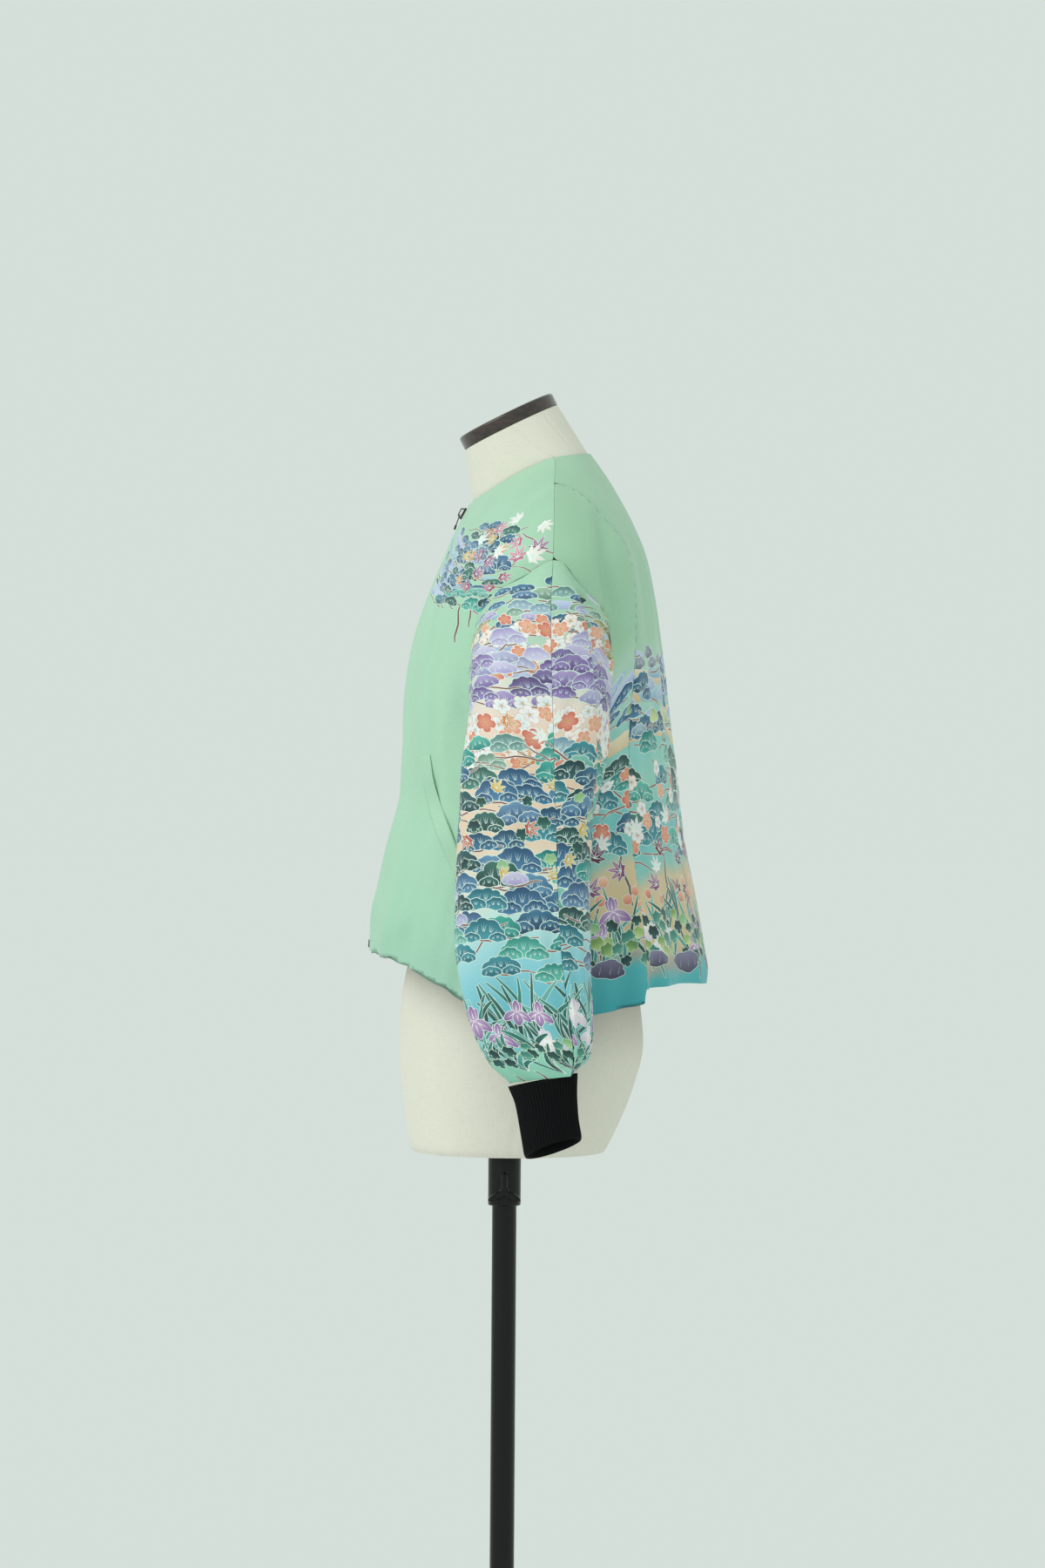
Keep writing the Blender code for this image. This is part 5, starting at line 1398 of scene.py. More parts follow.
def stained_walnut(colours):
    """Turned and French-polished dark walnut: fine straight grain under a clear gloss."""
    made, tree, shader, place = new_material("polished dark walnut")
    # Growth rings 3 mm apart, stretched along the board.
    grain = texture(tree, NOISE, place, (0.003, 0.06, 0.004), Detail=6.0, Distortion=0.6)
    blend = add_node(tree, "ShaderNodeValToRGB", {}, {"Fac": grain})
    for element, position, shade in zip(blend.color_ramp.elements, (0.35, 0.68), (0.45, 1.9)):
        element.position = position
        element.color = (*(np.array(colours.walnut) * shade), 1)
    dress(tree, shader, blend.outputs["Color"], 0.32, None, {"Coat Weight": 0.55, "Coat Roughness": 0.12})
    return made


def painted_steel(colours):
    """Steel with stoved black enamel: smooth and glossy, with slight orange peel about 2 mm across."""
    made, tree, shader, place = new_material("black enamelled steel")
    peel = texture(tree, NOISE, place, (0.002, 0.002, 0.002))
    scuffs = texture(tree, NOISE, place, (0.015, 0.015, 0.05), Detail=6.0)
    colour = tinted(tree, tuple(colours.enamel), scuffs, 0.8, 1.25)
    dress(tree, shader, colour, (scuffs, 0.14, 0.38), (peel, 0.08, 0.0004), {"Specular IOR Level": 0.3})
    return made


def cast_iron(colours):
    """Cast iron with black enamel, sprayed over sand-cast skin: softer gloss and a fine pitted surface."""
    made, tree, shader, place = new_material("enamelled cast iron")
    # The sand's grain is about 0.5 mm; it is drawn at 2.5 mm.
    sand = texture(tree, NOISE, place, (0.0025, 0.0025, 0.0025), Detail=4.0)
    colour = tinted(tree, tuple(colours.enamel), sand, 0.8, 1.25)
    dress(tree, shader, colour, (sand, 0.32, 0.52), (sand, 0.25, 0.0006))
    return made


def studio_paper(colours):
    """Matt seamless backdrop paper, as pale as the light round it, so that its far edge doesn't show."""
    made, tree, shader, _ = new_material("matt backdrop paper")
    dress(tree, shader, (*colours.floor, 1), 1.0, None, {"Specular IOR Level": 0.0})
    return made


FINISHES = {}


def finish(maker):
    """A material, made once."""
    if maker not in FINISHES:
        FINISHES[maker] = maker(bpy.context.scene.jacket_colours)
    return FINISHES[maker]

# Other pieces


def linked(name, mesh):
    piece = bpy.data.objects.new(name, mesh)
    bpy.context.scene.collection.objects.link(piece)
    return piece


def carried(piece, body_name, slot, material, *nodes):
    """Puts a piece on a body in place of CAD nodes, with its material. Its slot is not used."""
    if material is not None:
        piece.data.materials.append(material)
    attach(piece, body_name)
    if nodes:
        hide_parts(*nodes)
    return piece


def lofted(name, rings, closed=True, ends=True, uvs=None, map_name="knit"):
    """A smooth skin through rings of points. closed joins last and first, ends closes both ends."""
    size, count = len(rings[0]), len(rings)
    points = np.concatenate(rings)
    faces, corners = [], []
    for i in range(count if closed else count - 1):
        for j in range(size):
            k = (j + 1) % size
            here, below = i * size, (i + 1) % count * size
            faces.append((here + j, here + k, below + k, below + j))
            if uvs is not None:
                last = (uvs[0][-1] - uvs[0][-2]) if k == 0 else 0
                u = (uvs[0][j], uvs[0][k] if k else uvs[0][j] + last)
                v = (uvs[1][i], uvs[1][i + 1])
                corners += [(u[0], v[0]), (u[1], v[0]), (u[1], v[1]), (u[0], v[1])]
    if not closed and ends:
        faces += [tuple(reversed(range(size))), tuple(range((count - 1) * size, count * size))]
        corners += [(0, 0)] * (2 * size)
    mesh = bpy.data.meshes.new(name)
    mesh.from_pydata(points.tolist(), [], faces)
    if uvs is not None:
        mesh.uv_layers.new(name=map_name).data.foreach_set("uv", np.array(corners, float).ravel())
    mesh.shade_smooth()
    return mesh


def outward(mesh):
    """Turns a closed mesh's faces outwards."""
    work = bmesh.new()
    work.from_mesh(mesh)
    bmesh.ops.recalc_face_normals(work, faces=work.faces)
    work.to_mesh(mesh)
    work.free()
    return mesh


def mirrored(mesh, name):
    other = mesh.copy()
    other.name = name
    other.transform(Matrix.Diagonal((-1, 1, 1, 1)))
    other.flip_normals()
    return other


def sharpened(mesh, degrees=35):
    mesh.set_sharp_from_angle(angle=math.radians(degrees))
    return mesh


def cuff_point(ring, angle, lift):
    """A point of the left cuff, lifted out from its surface."""
    values = {name: column(CUFF_RINGS, CUFF_COLUMNS, name, ring) for name in CUFF_COLUMNS}
    outward_share, forward = np.cos(angle), np.sin(angle)
    middle_y = (values["front_y"] + values["back_y"]) / 2
    half_y = (values["back_y"] - values["front_y"]) / 2
    grown = lift / MM
    return MM * np.stack(
        [
            values["mid_x"] + (values["half_x"] + grown) * outward_share,
            middle_y - (half_y + grown) * forward,
            values["mid_z"] + values["outer_rise"] * outward_share - values["front_drop"] * forward,
        ],
        axis=-1,
    )


def cuff_mesh(name):
    """A rib cuff: rounded ribs outside and a plain inside, turned in at its lower edge."""
    settings = bpy.context.scene.jacket_sizes
    steps = 8
    angles = np.linspace(0, 2 * math.pi, settings.rib_count * steps, endpoint=False)
    rib = (0.5 + 0.5 * np.cos(settings.rib_count * angles)) ** 0.7
    bands = 40
    rings, heights = [], []
    top = np.array((0, 0, 1.5 * MM))
    for share in np.linspace(0, 1, bands):
        ring = share * (len(CUFF_RINGS) - 1)
        puff = 0.5 * MM * math.sin(math.pi * share) + 0.12 * MM * np.sin(5 * angles + 9 * share)
        narrow = 1 - 0.8 * max(0.0, (share - 0.96) / 0.04)
        lift = settings.rib_raise * rib * narrow + puff - (1 - narrow) * 0.4 * MM
        rings.append(cuff_point(ring, angles, lift) - top * max(0, 1 - share * 4))
        heights.append(share * 0.07)
    for share in np.linspace(1, 0, 12):
        ring = share * (len(CUFF_RINGS) - 1)
        rings.append(cuff_point(ring, angles, np.full_like(angles, -1.5 * MM)) - top * max(0, 1 - share * 4))
        heights.append(heights[-1] + 0.006)
    heights.append(heights[-1] + 0.001)
    ribs = np.arange(len(angles)) / steps
    return outward(lofted(name, rings, uvs=(ribs, heights)))


def welt_mesh(name, cut):
    """The pocket's slanting welt, a folded strip that lies on the front and stands a little off it."""
    count, across = 64, 9
    heights = np.linspace(WELT_LINE[0][0], WELT_LINE[-1][0], count)
    line = sorted(WELT_LINE)
    outer = smooth([z for z, _, _ in line], [y for _, y, _ in line], heights)
    opening = smooth([z for z, _, _ in line], [y for _, _, y in line], heights)
    shares = np.linspace(0, 1, across)
    y = outer[:, None] + (opening - outer)[:, None] * shares
    z = np.repeat(heights[:, None], across, axis=1)
    place = cut.find(y.ravel() * MM, z.ravel() * MM)
    base, out = between(cut.points, place), unit(between(cut.out, place))
    bulge = 1.25 + 1.1 * np.sin(math.pi * shares) ** 0.45 + 0.12 * np.sin(heights[:, None] / 7)
    high = (base + out * bulge.reshape(-1, 1) * MM).reshape(count, across, 3)
    low = (base + out * 0.9 * MM).reshape(count, across, 3)
    rings = [np.concatenate([high[i], low[i, ::-1]]) for i in range(count)]
    size = 2 * across
    u = np.concatenate([shares, shares[::-1] + 1.2]) * 0.013
    v = (heights[0] - heights) * MM
    mesh = lofted(name, rings, closed=False, uvs=(u, v), map_name="cloth")
    colours = np.empty((len(mesh.loops), 4))
    corners = np.empty(len(mesh.loops), np.int32)
    mesh.loops.foreach_get("vertex_index", corners)
    level = heights[corners // size]
    shade = linear(WELT_SILK) * (1 + 0.04 * np.sin(level / 11))[:, None]
    colours[:, :3], colours[:, 3] = shade, 1
    mesh.color_attributes.new("print", "FLOAT_COLOR", "CORNER").data.foreach_set("color", colours.ravel())
    return outward(mesh)


def round_rings(profile, sides=96):
    """Rings of points about the Z axis, one for each radius and height in metres."""
    angles = np.linspace(0, 2 * math.pi, sides, endpoint=False)
    return [
        np.stack([radius * np.cos(angles), radius * np.sin(angles), np.full(sides, height)], axis=1)
        for radius, height in profile
    ]


def rounded(profile, radius, steps=4):
    """A profile with its corners rounded by this radius, where its sides are long enough."""
    result = [profile[0]]
    for before, here, after in zip(profile, profile[1:], profile[2:]):
        before, here, after = (np.array(point, float) for point in (before, here, after))
        reach = min(radius, 0.45 * np.linalg.norm(before - here), 0.45 * np.linalg.norm(after - here))
        start = here + unit(before - here) * reach
        end = here + unit(after - here) * reach
        for share in np.linspace(0, 1, steps + 1):
            result.append((1 - share) ** 2 * start + 2 * share * (1 - share) * here + share**2 * end)
    result.append(profile[-1])
    return [tuple(point) for point in result]


def along_front(rows, x, depth):
    """Points at this distance from the centre front and this deep under the cloth's outer side."""
    turn = np.arctan(x / body_ring("half_width", rows) / MM) / math.pi
    points = body(rows, turn) + normals(body, rows, turn) * depth
    points[:, 0] = x
    return points


def tape_mesh(name):
    """Half of the zip: its tape behind the front's edge, with a stitched ridge."""
    rows = np.linspace(0.02, HEM - TAPE_END, 260)
    under = -(CLOTH + TAPE_GAP)
    section = (
        (0.4, under / MM + 0.6),
        (2.2, under / MM + 0.6),
        (2.8, under / MM),
        (9, under / MM - 0.05),
        (14.6, under / MM),
        (15, under / MM - 0.5),
        (14.6, under / MM - 1),
        (0.4, under / MM - 1),
    )
    sides = [along_front(rows, x * MM, depth * MM) for x, depth in section]
    rings = [np.array([side[i] for side in sides]) for i in range(len(rows))]
    return sharpened(outward(lofted(name, rings, closed=False)))


def teeth_mesh(name, offset):
    """A row of cast teeth: each a small block with a rounded head that reaches past the centre."""
    rows = np.linspace(0.05, HEM - TAPE_END - 0.3, 1500)
    centre = along_front(rows, np.full_like(rows, 0.0), 0.0)
    travelled = np.concatenate([[0], np.cumsum(np.linalg.norm(np.diff(centre, axis=0), axis=1))])
    places = np.arange(offset, travelled[-1], ZIP_PITCH)
    at = np.interp(places, travelled, rows)
    middle = body(at, 0.0 * at)
    out = normals(body, at, 0.0 * at)
    down = unit(body(at + 0.01, 0.0 * at) - middle)
    half = 0.27 * ZIP_PITCH / MM
    # Across the zip, then share of the half height
    outline = ((-0.75, 0.55), (-0.35, 0.9), (0.9, 0.75), (2.35, 1.0))
    points, faces = [], []
    for index in range(len(at)):
        first = len(points)
        for across, share in outline:
            for depth in (-0.2, -2.3):
                for side in (-1, 1):
                    lift = depth + (0.25 if depth > -1 and -0.5 < across < 1 else 0)
                    point = middle[index] + out[index] * lift * MM + down[index] * side * half * share * MM
                    points.append(point + np.array((across * MM, 0, 0)))
        for k in range(len(outline) - 1):
            a, b = first + 4 * k, first + 4 * (k + 1)
            faces += [(a, b, b + 1, a + 1), (a + 2, a + 3, b + 3, b + 2)]
            faces += [(a, a + 2, b + 2, b), (a + 1, b + 1, b + 3, a + 3)]
        a, b = first, first + 4 * (len(outline) - 1)
        faces += [(a, a + 1, a + 3, a + 2), (b, b + 2, b + 3, b + 1)]
    mesh = bpy.data.meshes.new(name)
    mesh.from_pydata([tuple(point) for point in points], [], faces)
    return outward(mesh)


def cap_ring(depth, radius, sides):
    """A ring of the tilted neck cap, this deep below its lower face, measured along its axis."""
    angles = np.linspace(0, 2 * math.pi, sides, endpoint=False)
    flat = np.stack([radius * np.sin(angles), -radius * np.cos(angles), np.full(sides, -depth)], axis=1)
    tilt = np.array(Matrix.Rotation(CAP_TILT, 3, "X"))
    return flat @ tilt.T + np.array(CAP_CENTRE)


def form_ring(index, turns):
    ring = dict(zip(FORM_COLUMNS, FORM_RINGS[index]))
    along, across = superellipse(turns * math.pi, ring["power"])
    share = np.abs(along)
    end_y = np.where(along > 0, ring["front_y"], ring["back_y"])
    end_z = np.where(along > 0, ring["front_z"], ring["back_z"])
    return MM * np.stack(
        [
            ring["half_width"] * across,
            ring["side_y"] + (end_y - ring["side_y"]) * share,
            ring["side_z"] + (end_z - ring["side_z"]) * share**2,
        ],
        axis=-1,
    )


def form_rings(turns):
    at_front = np.clip(np.cos(turns * math.pi), 0, 1) ** 8 * FORM_BEHIND_ZIP
    shoulders = []
    for row, below in FORM_SHOULDERS:
        rows = np.full_like(turns, row)
        inset = below * MM + at_front
        shoulders.append(body(rows, turns) - normals(body, rows, turns) * inset[:, None])
    top = cap_ring(SEAM_GAP, CAP_RADIUS - 0.5 * MM, len(turns))
    rings = [top]
    for share in (0.5, 0.9):
        rings.append(top + (shoulders[0] - top) * share)
    rings += shoulders
    rings += [form_ring(index, turns) for index in range(len(FORM_RINGS))]
    rings.append(rings[-1] * np.array((0.97, 0.97, 0)) + np.array((0, 0, FORM_BOTTOM)))
    return np.array(rings)


def torso_mesh(name):
    """The linen cover: smooth between its rings, with sewn seams all round."""
    turns = np.linspace(0, 2, 160, endpoint=False)
    rings = form_rings(turns)
    at = np.concatenate([np.linspace(i, i + 1, 5)[:-1] for i in range(len(rings) - 1)] + [[len(rings) - 1]])
    skin = smooth(range(len(rings)), rings, at)
    around = np.roll(skin, -1, axis=1) - np.roll(skin, 1, axis=1)
    down = np.gradient(skin, axis=0)
    out = unit(np.cross(down, around))
    centre = skin.mean(axis=1, keepdims=True)
    out = out * np.sign((out * (skin - centre)).sum(axis=-1, keepdims=True))
    apart = np.abs(turns[:, None] - FORM_SEAMS)
    spot = np.minimum(apart, 2 - apart).min(axis=1)
    gap = spot[None, :] * np.linalg.norm(around, axis=2).mean(axis=1)[:, None] * len(turns) / 4
    groove = 0.9 * np.exp(-((gap / (1.6 * MM)) ** 2)) - 0.35 * np.exp(-(((gap - 4 * MM) / (2.2 * MM)) ** 2))
    ends = np.minimum(np.arange(len(at)), np.arange(len(at))[::-1]) > 0
    skin = skin - out * (groove * ends[:, None])[..., None] * MM
    size = len(turns)
    x, y = BORE_RADIUS * np.sin(turns * math.pi), -BORE_RADIUS * np.cos(turns * math.pi)
    bore = [np.stack([x, y, turns * 0 + z], axis=1) for z in (FORM_BOTTOM, BORE_TOP)]
    rings = list(skin) + bore
    width = np.linalg.norm(around, axis=2).mean() / 2
    u = np.arange(size) * width
    v = np.concatenate([[0], np.cumsum(np.linalg.norm(np.diff(skin, axis=0), axis=2).mean(axis=1))])
    v = np.concatenate([v, [v[-1] + 0.1, v[-1] + 0.7]])
    mesh = outward(lofted(name, rings, closed=False, uvs=(u, v), map_name="linen"))
    return sharpened(mesh, 50)


def cap_mesh(name):
    profile = [(2, 0), (CAP_RADIUS / MM - 1.2, 0), (CAP_RADIUS / MM, 0.3), (CAP_RADIUS / MM, 12.2)]
    profile += [(CAP_RADIUS / MM - 1.6, 14), (CAP_RADIUS / MM - 14, 14.4), (2, 14.7)]
    rings = [cap_ring(-height * MM, radius * MM, 128) for radius, height in rounded(profile, 2.2, 6)]
    return sharpened(outward(lofted(name, rings, closed=False)), 60)


def turned_mesh(name, profile, radius=1.0, sides=96, closed=True):
    """A solid turned about Z from its outline in millimetres, with rounded corners."""
    line = rounded(profile, radius)
    rings = round_rings([(r * MM, z * MM) for r, z in line], sides)
    return sharpened(outward(lofted(name, rings, closed=closed)), 40)


def knob_mesh(name):
    """A three-armed cast knob with rounded arms, a domed face, a neck and its screw."""
    work = bmesh.new()
    angles = np.linspace(0, 2 * math.pi, 144, endpoint=False)
    lobe = ((1 + np.cos(KNOB_ARMS * angles)) / 2) ** 4
    reach = KNOB_HUB / MM + (KNOB_REACH - KNOB_HUB) / MM * lobe
    inner, outer = KNOB_FACES[0] / MM, KNOB_FACES[1] / MM
    # The grip's edge: place along the screw, how far it draws in
    edge = [(inner, 1.6), (inner + 0.5, 0.5), (inner + 1.6, 0), (outer - 2.4, 0)]
    edge += [(outer - 0.9, 0.7), (outer - 0.2, 2.0), (outer, 3.6)]
    rings = []
    for along, shrink in edge:
        size = np.maximum(reach - shrink, 1.2)
        y, z = size * np.sin(angles), size * np.cos(angles)
        rings.append(np.stack([np.full_like(angles, along), y, z], axis=1))
    meshes = [lofted("knob_grip", [ring * MM for ring in rings], closed=False)]
    neck = (KNOB_NECK / MM, COLLAR_RADIUS / MM + 0.6, inner + 0.4)
    screw = (SCREW_RADIUS / MM, BORE_RADIUS / MM, inner)
    for radius, low, high in (neck, screw):
        shaft = [(0.3, low), (radius - 0.4, low), (radius, low + 0.4), (radius, high), (0.3, high)]
        upright = round_rings([(r * MM, z * MM) for r, z in shaft], 48)
        rings = [ring[:, [2, 0, 1]] for ring in upright]
        meshes.append(lofted("knob_shaft", rings, closed=False))
    for mesh in meshes:
        work.from_mesh(mesh)
    bmesh.ops.translate(work, verts=work.verts, vec=(0, 0, KNOB_HEIGHT))
    bmesh.ops.recalc_face_normals(work, faces=work.faces)
    result = bpy.data.meshes.new(name)
    work.to_mesh(result)
    work.free()
    result.shade_smooth()
    return sharpened(result, 50)

# What a user can change


def measure(name, description, default):
    return FloatProperty(name=name, description=description, default=default, unit="LENGTH")


def paint(name, description, colour):
    default = tuple(linear(colour).tolist())
    return FloatVectorProperty(name=name, description=description, subtype="COLOR", default=default)


class JacketSizes(PropertyGroup):
    cloth_wall: measure("Cloth wall", "Thickness of the silk with its backing", CLOTH)
    cloth_step: measure("Cloth mesh", "Distance between the points of the cloth's mesh", 6 * MM)
    crease: FloatProperty(
        name="Soft creases", description="Height of the slow waves in the cloth, in millimetres", default=0.3
    )
    rib_count: IntProperty(name="Ribs", description="Ribs round a cuff", default=58, min=20)
    rib_raise: measure("Rib height", "How far each rib stands out", 0.95 * MM)
    floor_radius: measure("Floor", "Radius of the floor round the stand", 60.0)


class JacketColours(PropertyGroup):
    silk_reverse: paint("Silk reverse", "Backing of the silk", "#2C4A3C")
    rib_black: paint("Rib knit", "Cuffs", "#0A0B0D")
    tape_black: paint("Zip tape", "Tape of the zip", "#0C0C0E")
    metal_black: paint("Zip metal", "Teeth, slider and pull", "#1C1C1E")
    linen: paint("Linen", "Cover of the dress form", "#E4E0D2")
    walnut: paint("Walnut", "Neck cap", "#33241D")
    enamel: paint("Enamel", "Pole, collar, knob and base", "#08090A")
    light: paint("Studio light", "Colour of the light all round", "#D5DFDA")
    floor: paint("Floor", "Backdrop paper", "#E7E9E8")


HANDS = (("left", False), ("right", True))  # the wearer's hand, and whether its pieces are mirror images
CALM_ABOVE = 150  # the body's panels lie flatter above this place, in millimetres down their flat cut
ALL_CREASED = -1000  # above the top of any panel
FLOOR_LEVEL = -0.5 * MM
LIGHTS = (  # name, strength, angle across it in degrees, place
    ("window_key", 0.85, 40, (4, -6, 6)),
    ("window_fill", 0.2, 60, (6, -6, 2.5)),
)
LIT_PLACE = Vector((0, 0, 1))
CAMERA_PLACE = (7, 0.0155, 1.205)
CAMERA_LENS = 154.7  # millimetres, over a sensor of 36
CAMERA_SHIFT = -50 / 1800
CAMERA_LEAN = 0.007  # the photograph leans by this slope


def silk_panel(name, node, cut, seed, look, flip, held, rests_on):
    """Adds a panel of patterned silk in place of its CAD node."""
    bands, ground, creases, calm_above = look
    pattern = Pattern(seed)
    # On both halves of a sleeve the pattern starts from the outer seam.
    ends = (cut.x.min(), cut.x.max())
    paint_bands(pattern, bands, *(ends[::-1] if cut.from_right else ends))
    relief = Relief(seed, creases, bpy.context.scene.jacket_sizes.crease, calm_above)
    piece, extent, area = panel_piece(name, cut, pattern, ground, relief, flip)
    piece.data.materials.append(finish(patterned_silk))
    carried(piece, "form", "kimono_silk", finish(silk_reverse), node)


def both_hands(left, right=None):
    """A left-hand mesh and its mirror image, or another mesh's, with the names of their hands."""
    return [("left", left), ("right", mirrored(right or left, left.name.replace("left", "right")))]


class JACKET_OT_body(Operator):
    """Build the fronts, the side panels and the back"""

    bl_idname = "jacket.body"
    bl_label = "Fronts and back"

    def execute(self, context):
        front, side, back = front_cut(), back_side_cut(), back_cut()
        front_look = (FRONT_BANDS, FRONT_GROUND, FRONT_CREASES, CALM_ABOVE)
        side_look = (SIDE_BANDS, BACK_GROUND, SIDE_CREASES, CALM_ABOVE)
        back_look = (BACK_BANDS, BACK_GROUND, BACK_CREASES, CALM_ABOVE)
        held = ("draped", ["form_torso"])
        for hand, flip in HANDS:
            silk_panel(f"silk_front_{hand}", f"front_{hand}", front, 11 + flip, front_look, flip, *held)
            silk_panel(f"silk_side_{hand}", f"back_side_{hand}", side, 21 + flip, side_look, flip, *held)
        silk_panel("silk_back", "back_centre", back, 41, back_look, False, *held)
        return {"FINISHED"}


class JACKET_OT_sleeves(Operator):
    """Build the two halves of each sleeve"""

    bl_idname = "jacket.sleeves"
    bl_label = "Sleeves"

    def execute(self, context):
        for part, creases, seed in (("front", SLEEVE_FRONT_CREASES, 51), ("back", SLEEVE_BACK_CREASES, 61)):
            cut = sleeve_cut(part == "front")
            look = (SLEEVE_BANDS, SLEEVE_GROUND, creases, ALL_CREASED)
            for hand, flip in HANDS:
                name, node = f"silk_sleeve_{part}_{hand}", f"sleeve_{part}_{hand}"
                silk_panel(name, node, cut, seed + flip, look, flip, "hung", [f"silk_front_{hand}"])
        return {"FINISHED"}


class JACKET_OT_cuffs(Operator):
    """Knit the rib cuffs"""

    bl_idname = "jacket.cuffs"
    bl_label = "Rib cuffs"

    def execute(self, context):
        for hand, mesh in both_hands(cuff_mesh("knit_cuff_left")):
            piece = linked(f"knit_cuff_{hand}", mesh)
            carried(piece, "form", "rib_knit", finish(rib_knit), f"cuff_{hand}")
        return {"FINISHED"}


class JACKET_OT_welts(Operator):
    """Lay the welts of the slanting pockets on the fronts"""

    bl_idname = "jacket.welts"
    bl_label = "Pocket welts"

    def execute(self, context):
        for hand, mesh in both_hands(welt_mesh("silk_welt_left", front_cut())):
            piece = linked(f"silk_welt_{hand}", mesh)
            carried(piece, "form", "kimono_silk", finish(patterned_silk), f"pocket_welt_{hand}")
        return {"FINISHED"}


class JACKET_OT_zip(Operator):
    """Make the zip: tapes, teeth, slider, pull and box"""

    bl_idname = "jacket.zip"
    bl_label = "Zip"

    def execute(self, context):
        metal = finish(oxidised_zinc)
        tapes = both_hands(tape_mesh("zip_cloth_left"))
        rows = both_hands(teeth_mesh("zip_teeth_left", 0.0), teeth_mesh("zip_teeth_right", ZIP_PITCH / 2))
        for (hand, tape), (_, row) in zip(tapes, rows):
            piece = linked(f"zip_cloth_{hand}", tape)
            carried(piece, "form", "zip_tape", finish(zip_tape_cloth), f"zip_tape_{hand}")
            carried(linked(f"zip_teeth_{hand}", row), "form", "zip_metal", metal)
        for node in ("zip_slider", "zip_pull", "zip_box"):
            repaint(node, metal)
        return {"FINISHED"}


class JACKET_OT_form(Operator):
    """Cover the dress form with linen and set its neck cap"""

    bl_idname = "jacket.form"
    bl_label = "Dress form"

    def execute(self, context):
        torso = linked("linen_torso", torso_mesh("linen_torso"))
        carried(torso, "form", "form_linen", finish(linen_cover), "form_torso")
        cap = linked("walnut_cap", cap_mesh("walnut_cap"))
        carried(cap, "form", "cap_wood", finish(stained_walnut), "neck_cap")
        return {"FINISHED"}


class JACKET_OT_stand(Operator):
    """Turn the pole, the collar, the plate and the base, and cast the knob"""

    bl_idname = "jacket.stand"
    bl_label = "Stand"

    def execute(self, context):
        steel = finish(painted_steel)
        turned = (  # name, node, body, outline, radius of its corners, whether it is a tube
            ("steel_pole", "pole", "pole", POLE_OUTLINE, 1.0, False),
            ("steel_collar", "clamp_collar", "form", COLLAR_OUTLINE, 1.0, True),
            ("steel_plate", "bottom_plate", "form", PLATE_OUTLINE, 1.2, True),
        )
        for name, node, body_name, outline, radius, hollow in turned:
            piece = linked(name, turned_mesh(name, outline, radius, closed=hollow))
            carried(piece, body_name, "stand_steel", steel, node)
        carried(linked("steel_knob", knob_mesh("steel_knob")), "knob", "stand_steel", steel, "clamp_knob")
        base = linked("iron_base", turned_mesh("iron_base", BASE_OUTLINE, 3.0, 160, closed=False))
        carried(base, "base", "base_iron", finish(cast_iron), "stand_base")
        return {"FINISHED"}


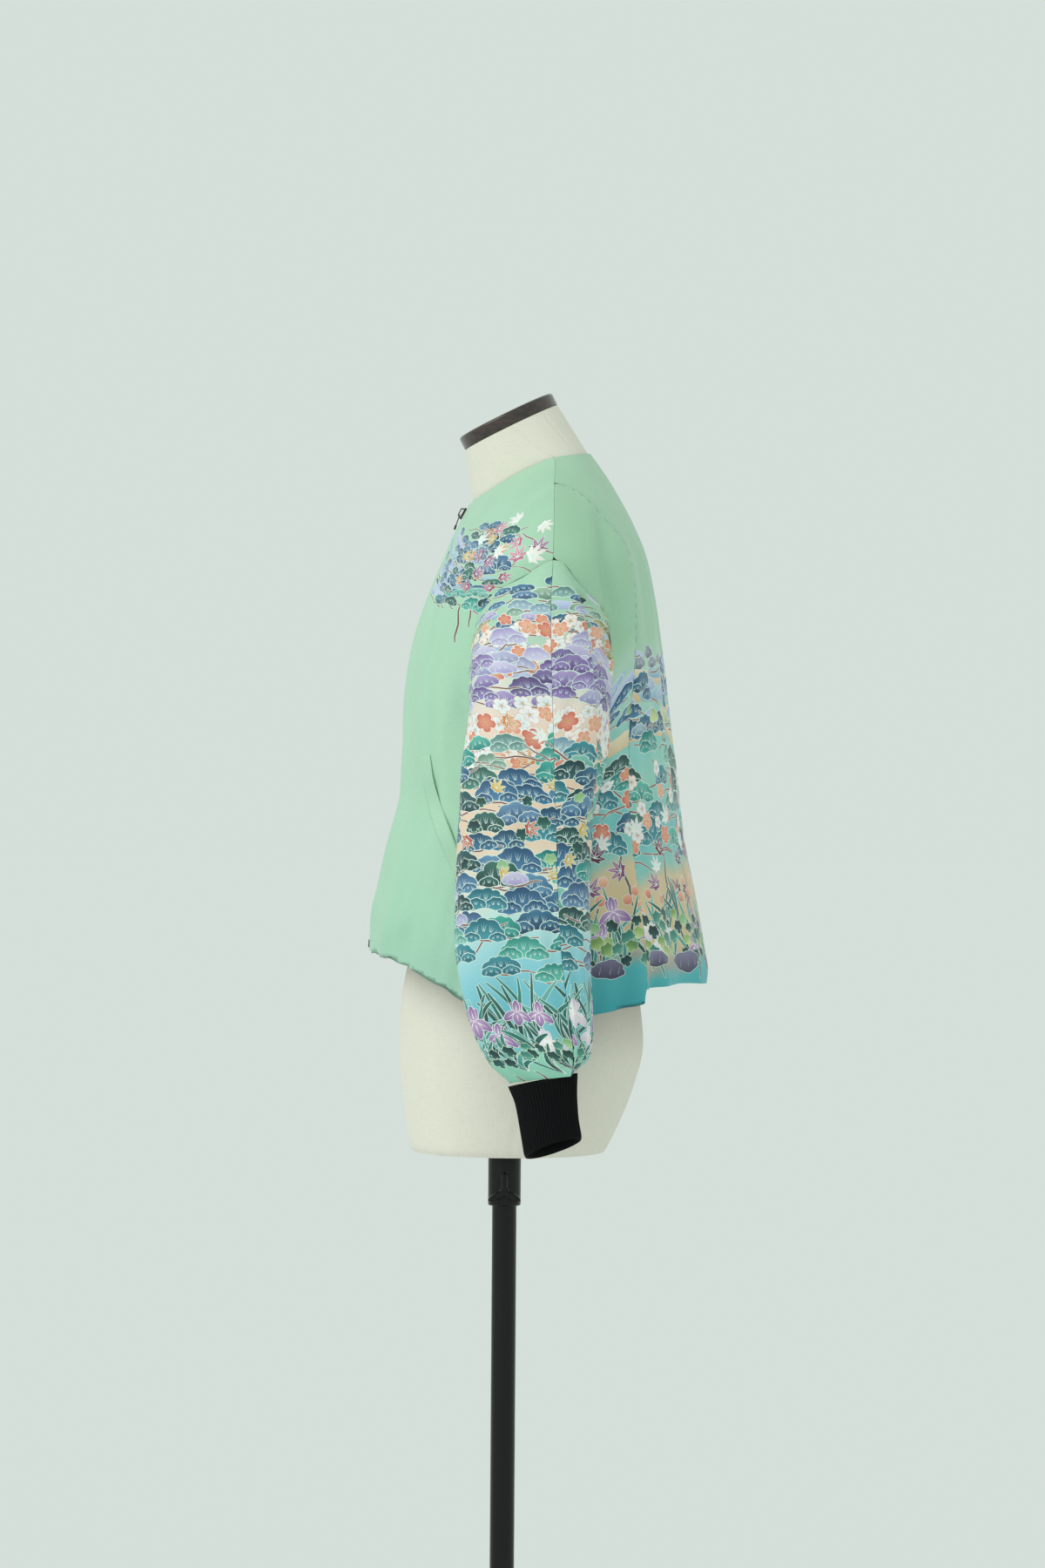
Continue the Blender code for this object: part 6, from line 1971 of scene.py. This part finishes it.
class JACKET_OT_stage(Operator):
    """Set the floor, the light and the camera"""

    bl_idname = "jacket.stage"
    bl_label = "Stage"

    def execute(self, context):
        scene = context.scene
        rings = round_rings([(scene.jacket_sizes.floor_radius, FLOOR_LEVEL), (1.0, FLOOR_LEVEL)], 128)
        floor = linked("floor_paper", lofted("floor_paper", rings, closed=False, ends=False))
        middle = bmesh.new()
        middle.from_mesh(floor.data)
        bmesh.ops.contextual_create(middle, geom=[v for v in middle.verts if v.co.length < 2])
        middle.to_mesh(floor.data)
        middle.free()
        floor.data.materials.append(finish(studio_paper))
        scene.world = bpy.data.worlds.new("studio_light")
        scene.world.use_nodes = True
        tree = scene.world.node_tree
        light = {"Color": (*scene.jacket_colours.light, 1), "Strength": 1.0}
        fill(tree, tree.nodes["Background"], light)
        # The photograph's pale background is its true colour, so the colours go to the screen as they are.
        scene.view_settings.view_transform = "Standard"
        for name, energy, degrees, place in LIGHTS:
            data = bpy.data.lights.new(name, "SUN")
            data.energy, data.angle = energy, math.radians(degrees)
            lamp = linked(name, data)
            lamp.location = place
            lamp.rotation_euler = (LIT_PLACE - Vector(place)).to_track_quat("-Z", "Y").to_euler()
        camera = bpy.data.cameras.new("camera")
        camera.lens, camera.sensor_width, camera.shift_y = CAMERA_LENS, 36, CAMERA_SHIFT
        holder = linked("camera", camera)
        right = Vector((0, 1, CAMERA_LEAN)).normalized()
        up = Vector((0, -CAMERA_LEAN, 1)).normalized()
        turn = Matrix((right, up, Vector((1, 0, 0)))).transposed()
        holder.matrix_world = Matrix.Translation(CAMERA_PLACE) @ turn.to_4x4()
        scene.camera = holder
        return {"FINISHED"}


def repaint(node, material):
    """Gives a CAD node, whose shape is right, its material."""
    piece = bpy.data.objects[node]
    for slot in piece.material_slots:
        slot.material = material
    if not piece.material_slots:
        piece.data.materials.append(material)


OPERATORS = (
    JACKET_OT_stage,
    JACKET_OT_form,
    JACKET_OT_stand,
    JACKET_OT_zip,
    JACKET_OT_cuffs,
    JACKET_OT_body,
    JACKET_OT_welts,
    JACKET_OT_sleeves,
)


class JACKET_PT_build(Panel):
    """Lists the jacket's pieces, to build them one by one"""

    bl_idname = "JACKET_PT_build"
    bl_label = "Kimono jacket"
    bl_space_type = "VIEW_3D"
    bl_region_type = "UI"
    bl_category = "Jacket"

    def draw(self, context):
        for group in (context.scene.jacket_sizes, context.scene.jacket_colours):
            for name in group.__annotations__:
                self.layout.prop(group, name)
        for operator in OPERATORS:
            self.layout.operator(operator.bl_idname)


CLASSES = (JacketSizes, JacketColours, *OPERATORS, JACKET_PT_build)


def register():
    for kind in CLASSES:
        bpy.utils.register_class(kind)
    bpy.types.Scene.jacket_sizes = PointerProperty(type=JacketSizes)
    bpy.types.Scene.jacket_colours = PointerProperty(type=JacketColours)


def unregister():
    del bpy.types.Scene.jacket_colours
    del bpy.types.Scene.jacket_sizes
    for kind in reversed(CLASSES):
        bpy.utils.unregister_class(kind)


def main():
    register()
    for operator in OPERATORS:
        group, name = operator.bl_idname.split(".")
        getattr(getattr(bpy.ops, group), name)()


if __name__ == "__main__":
    main()
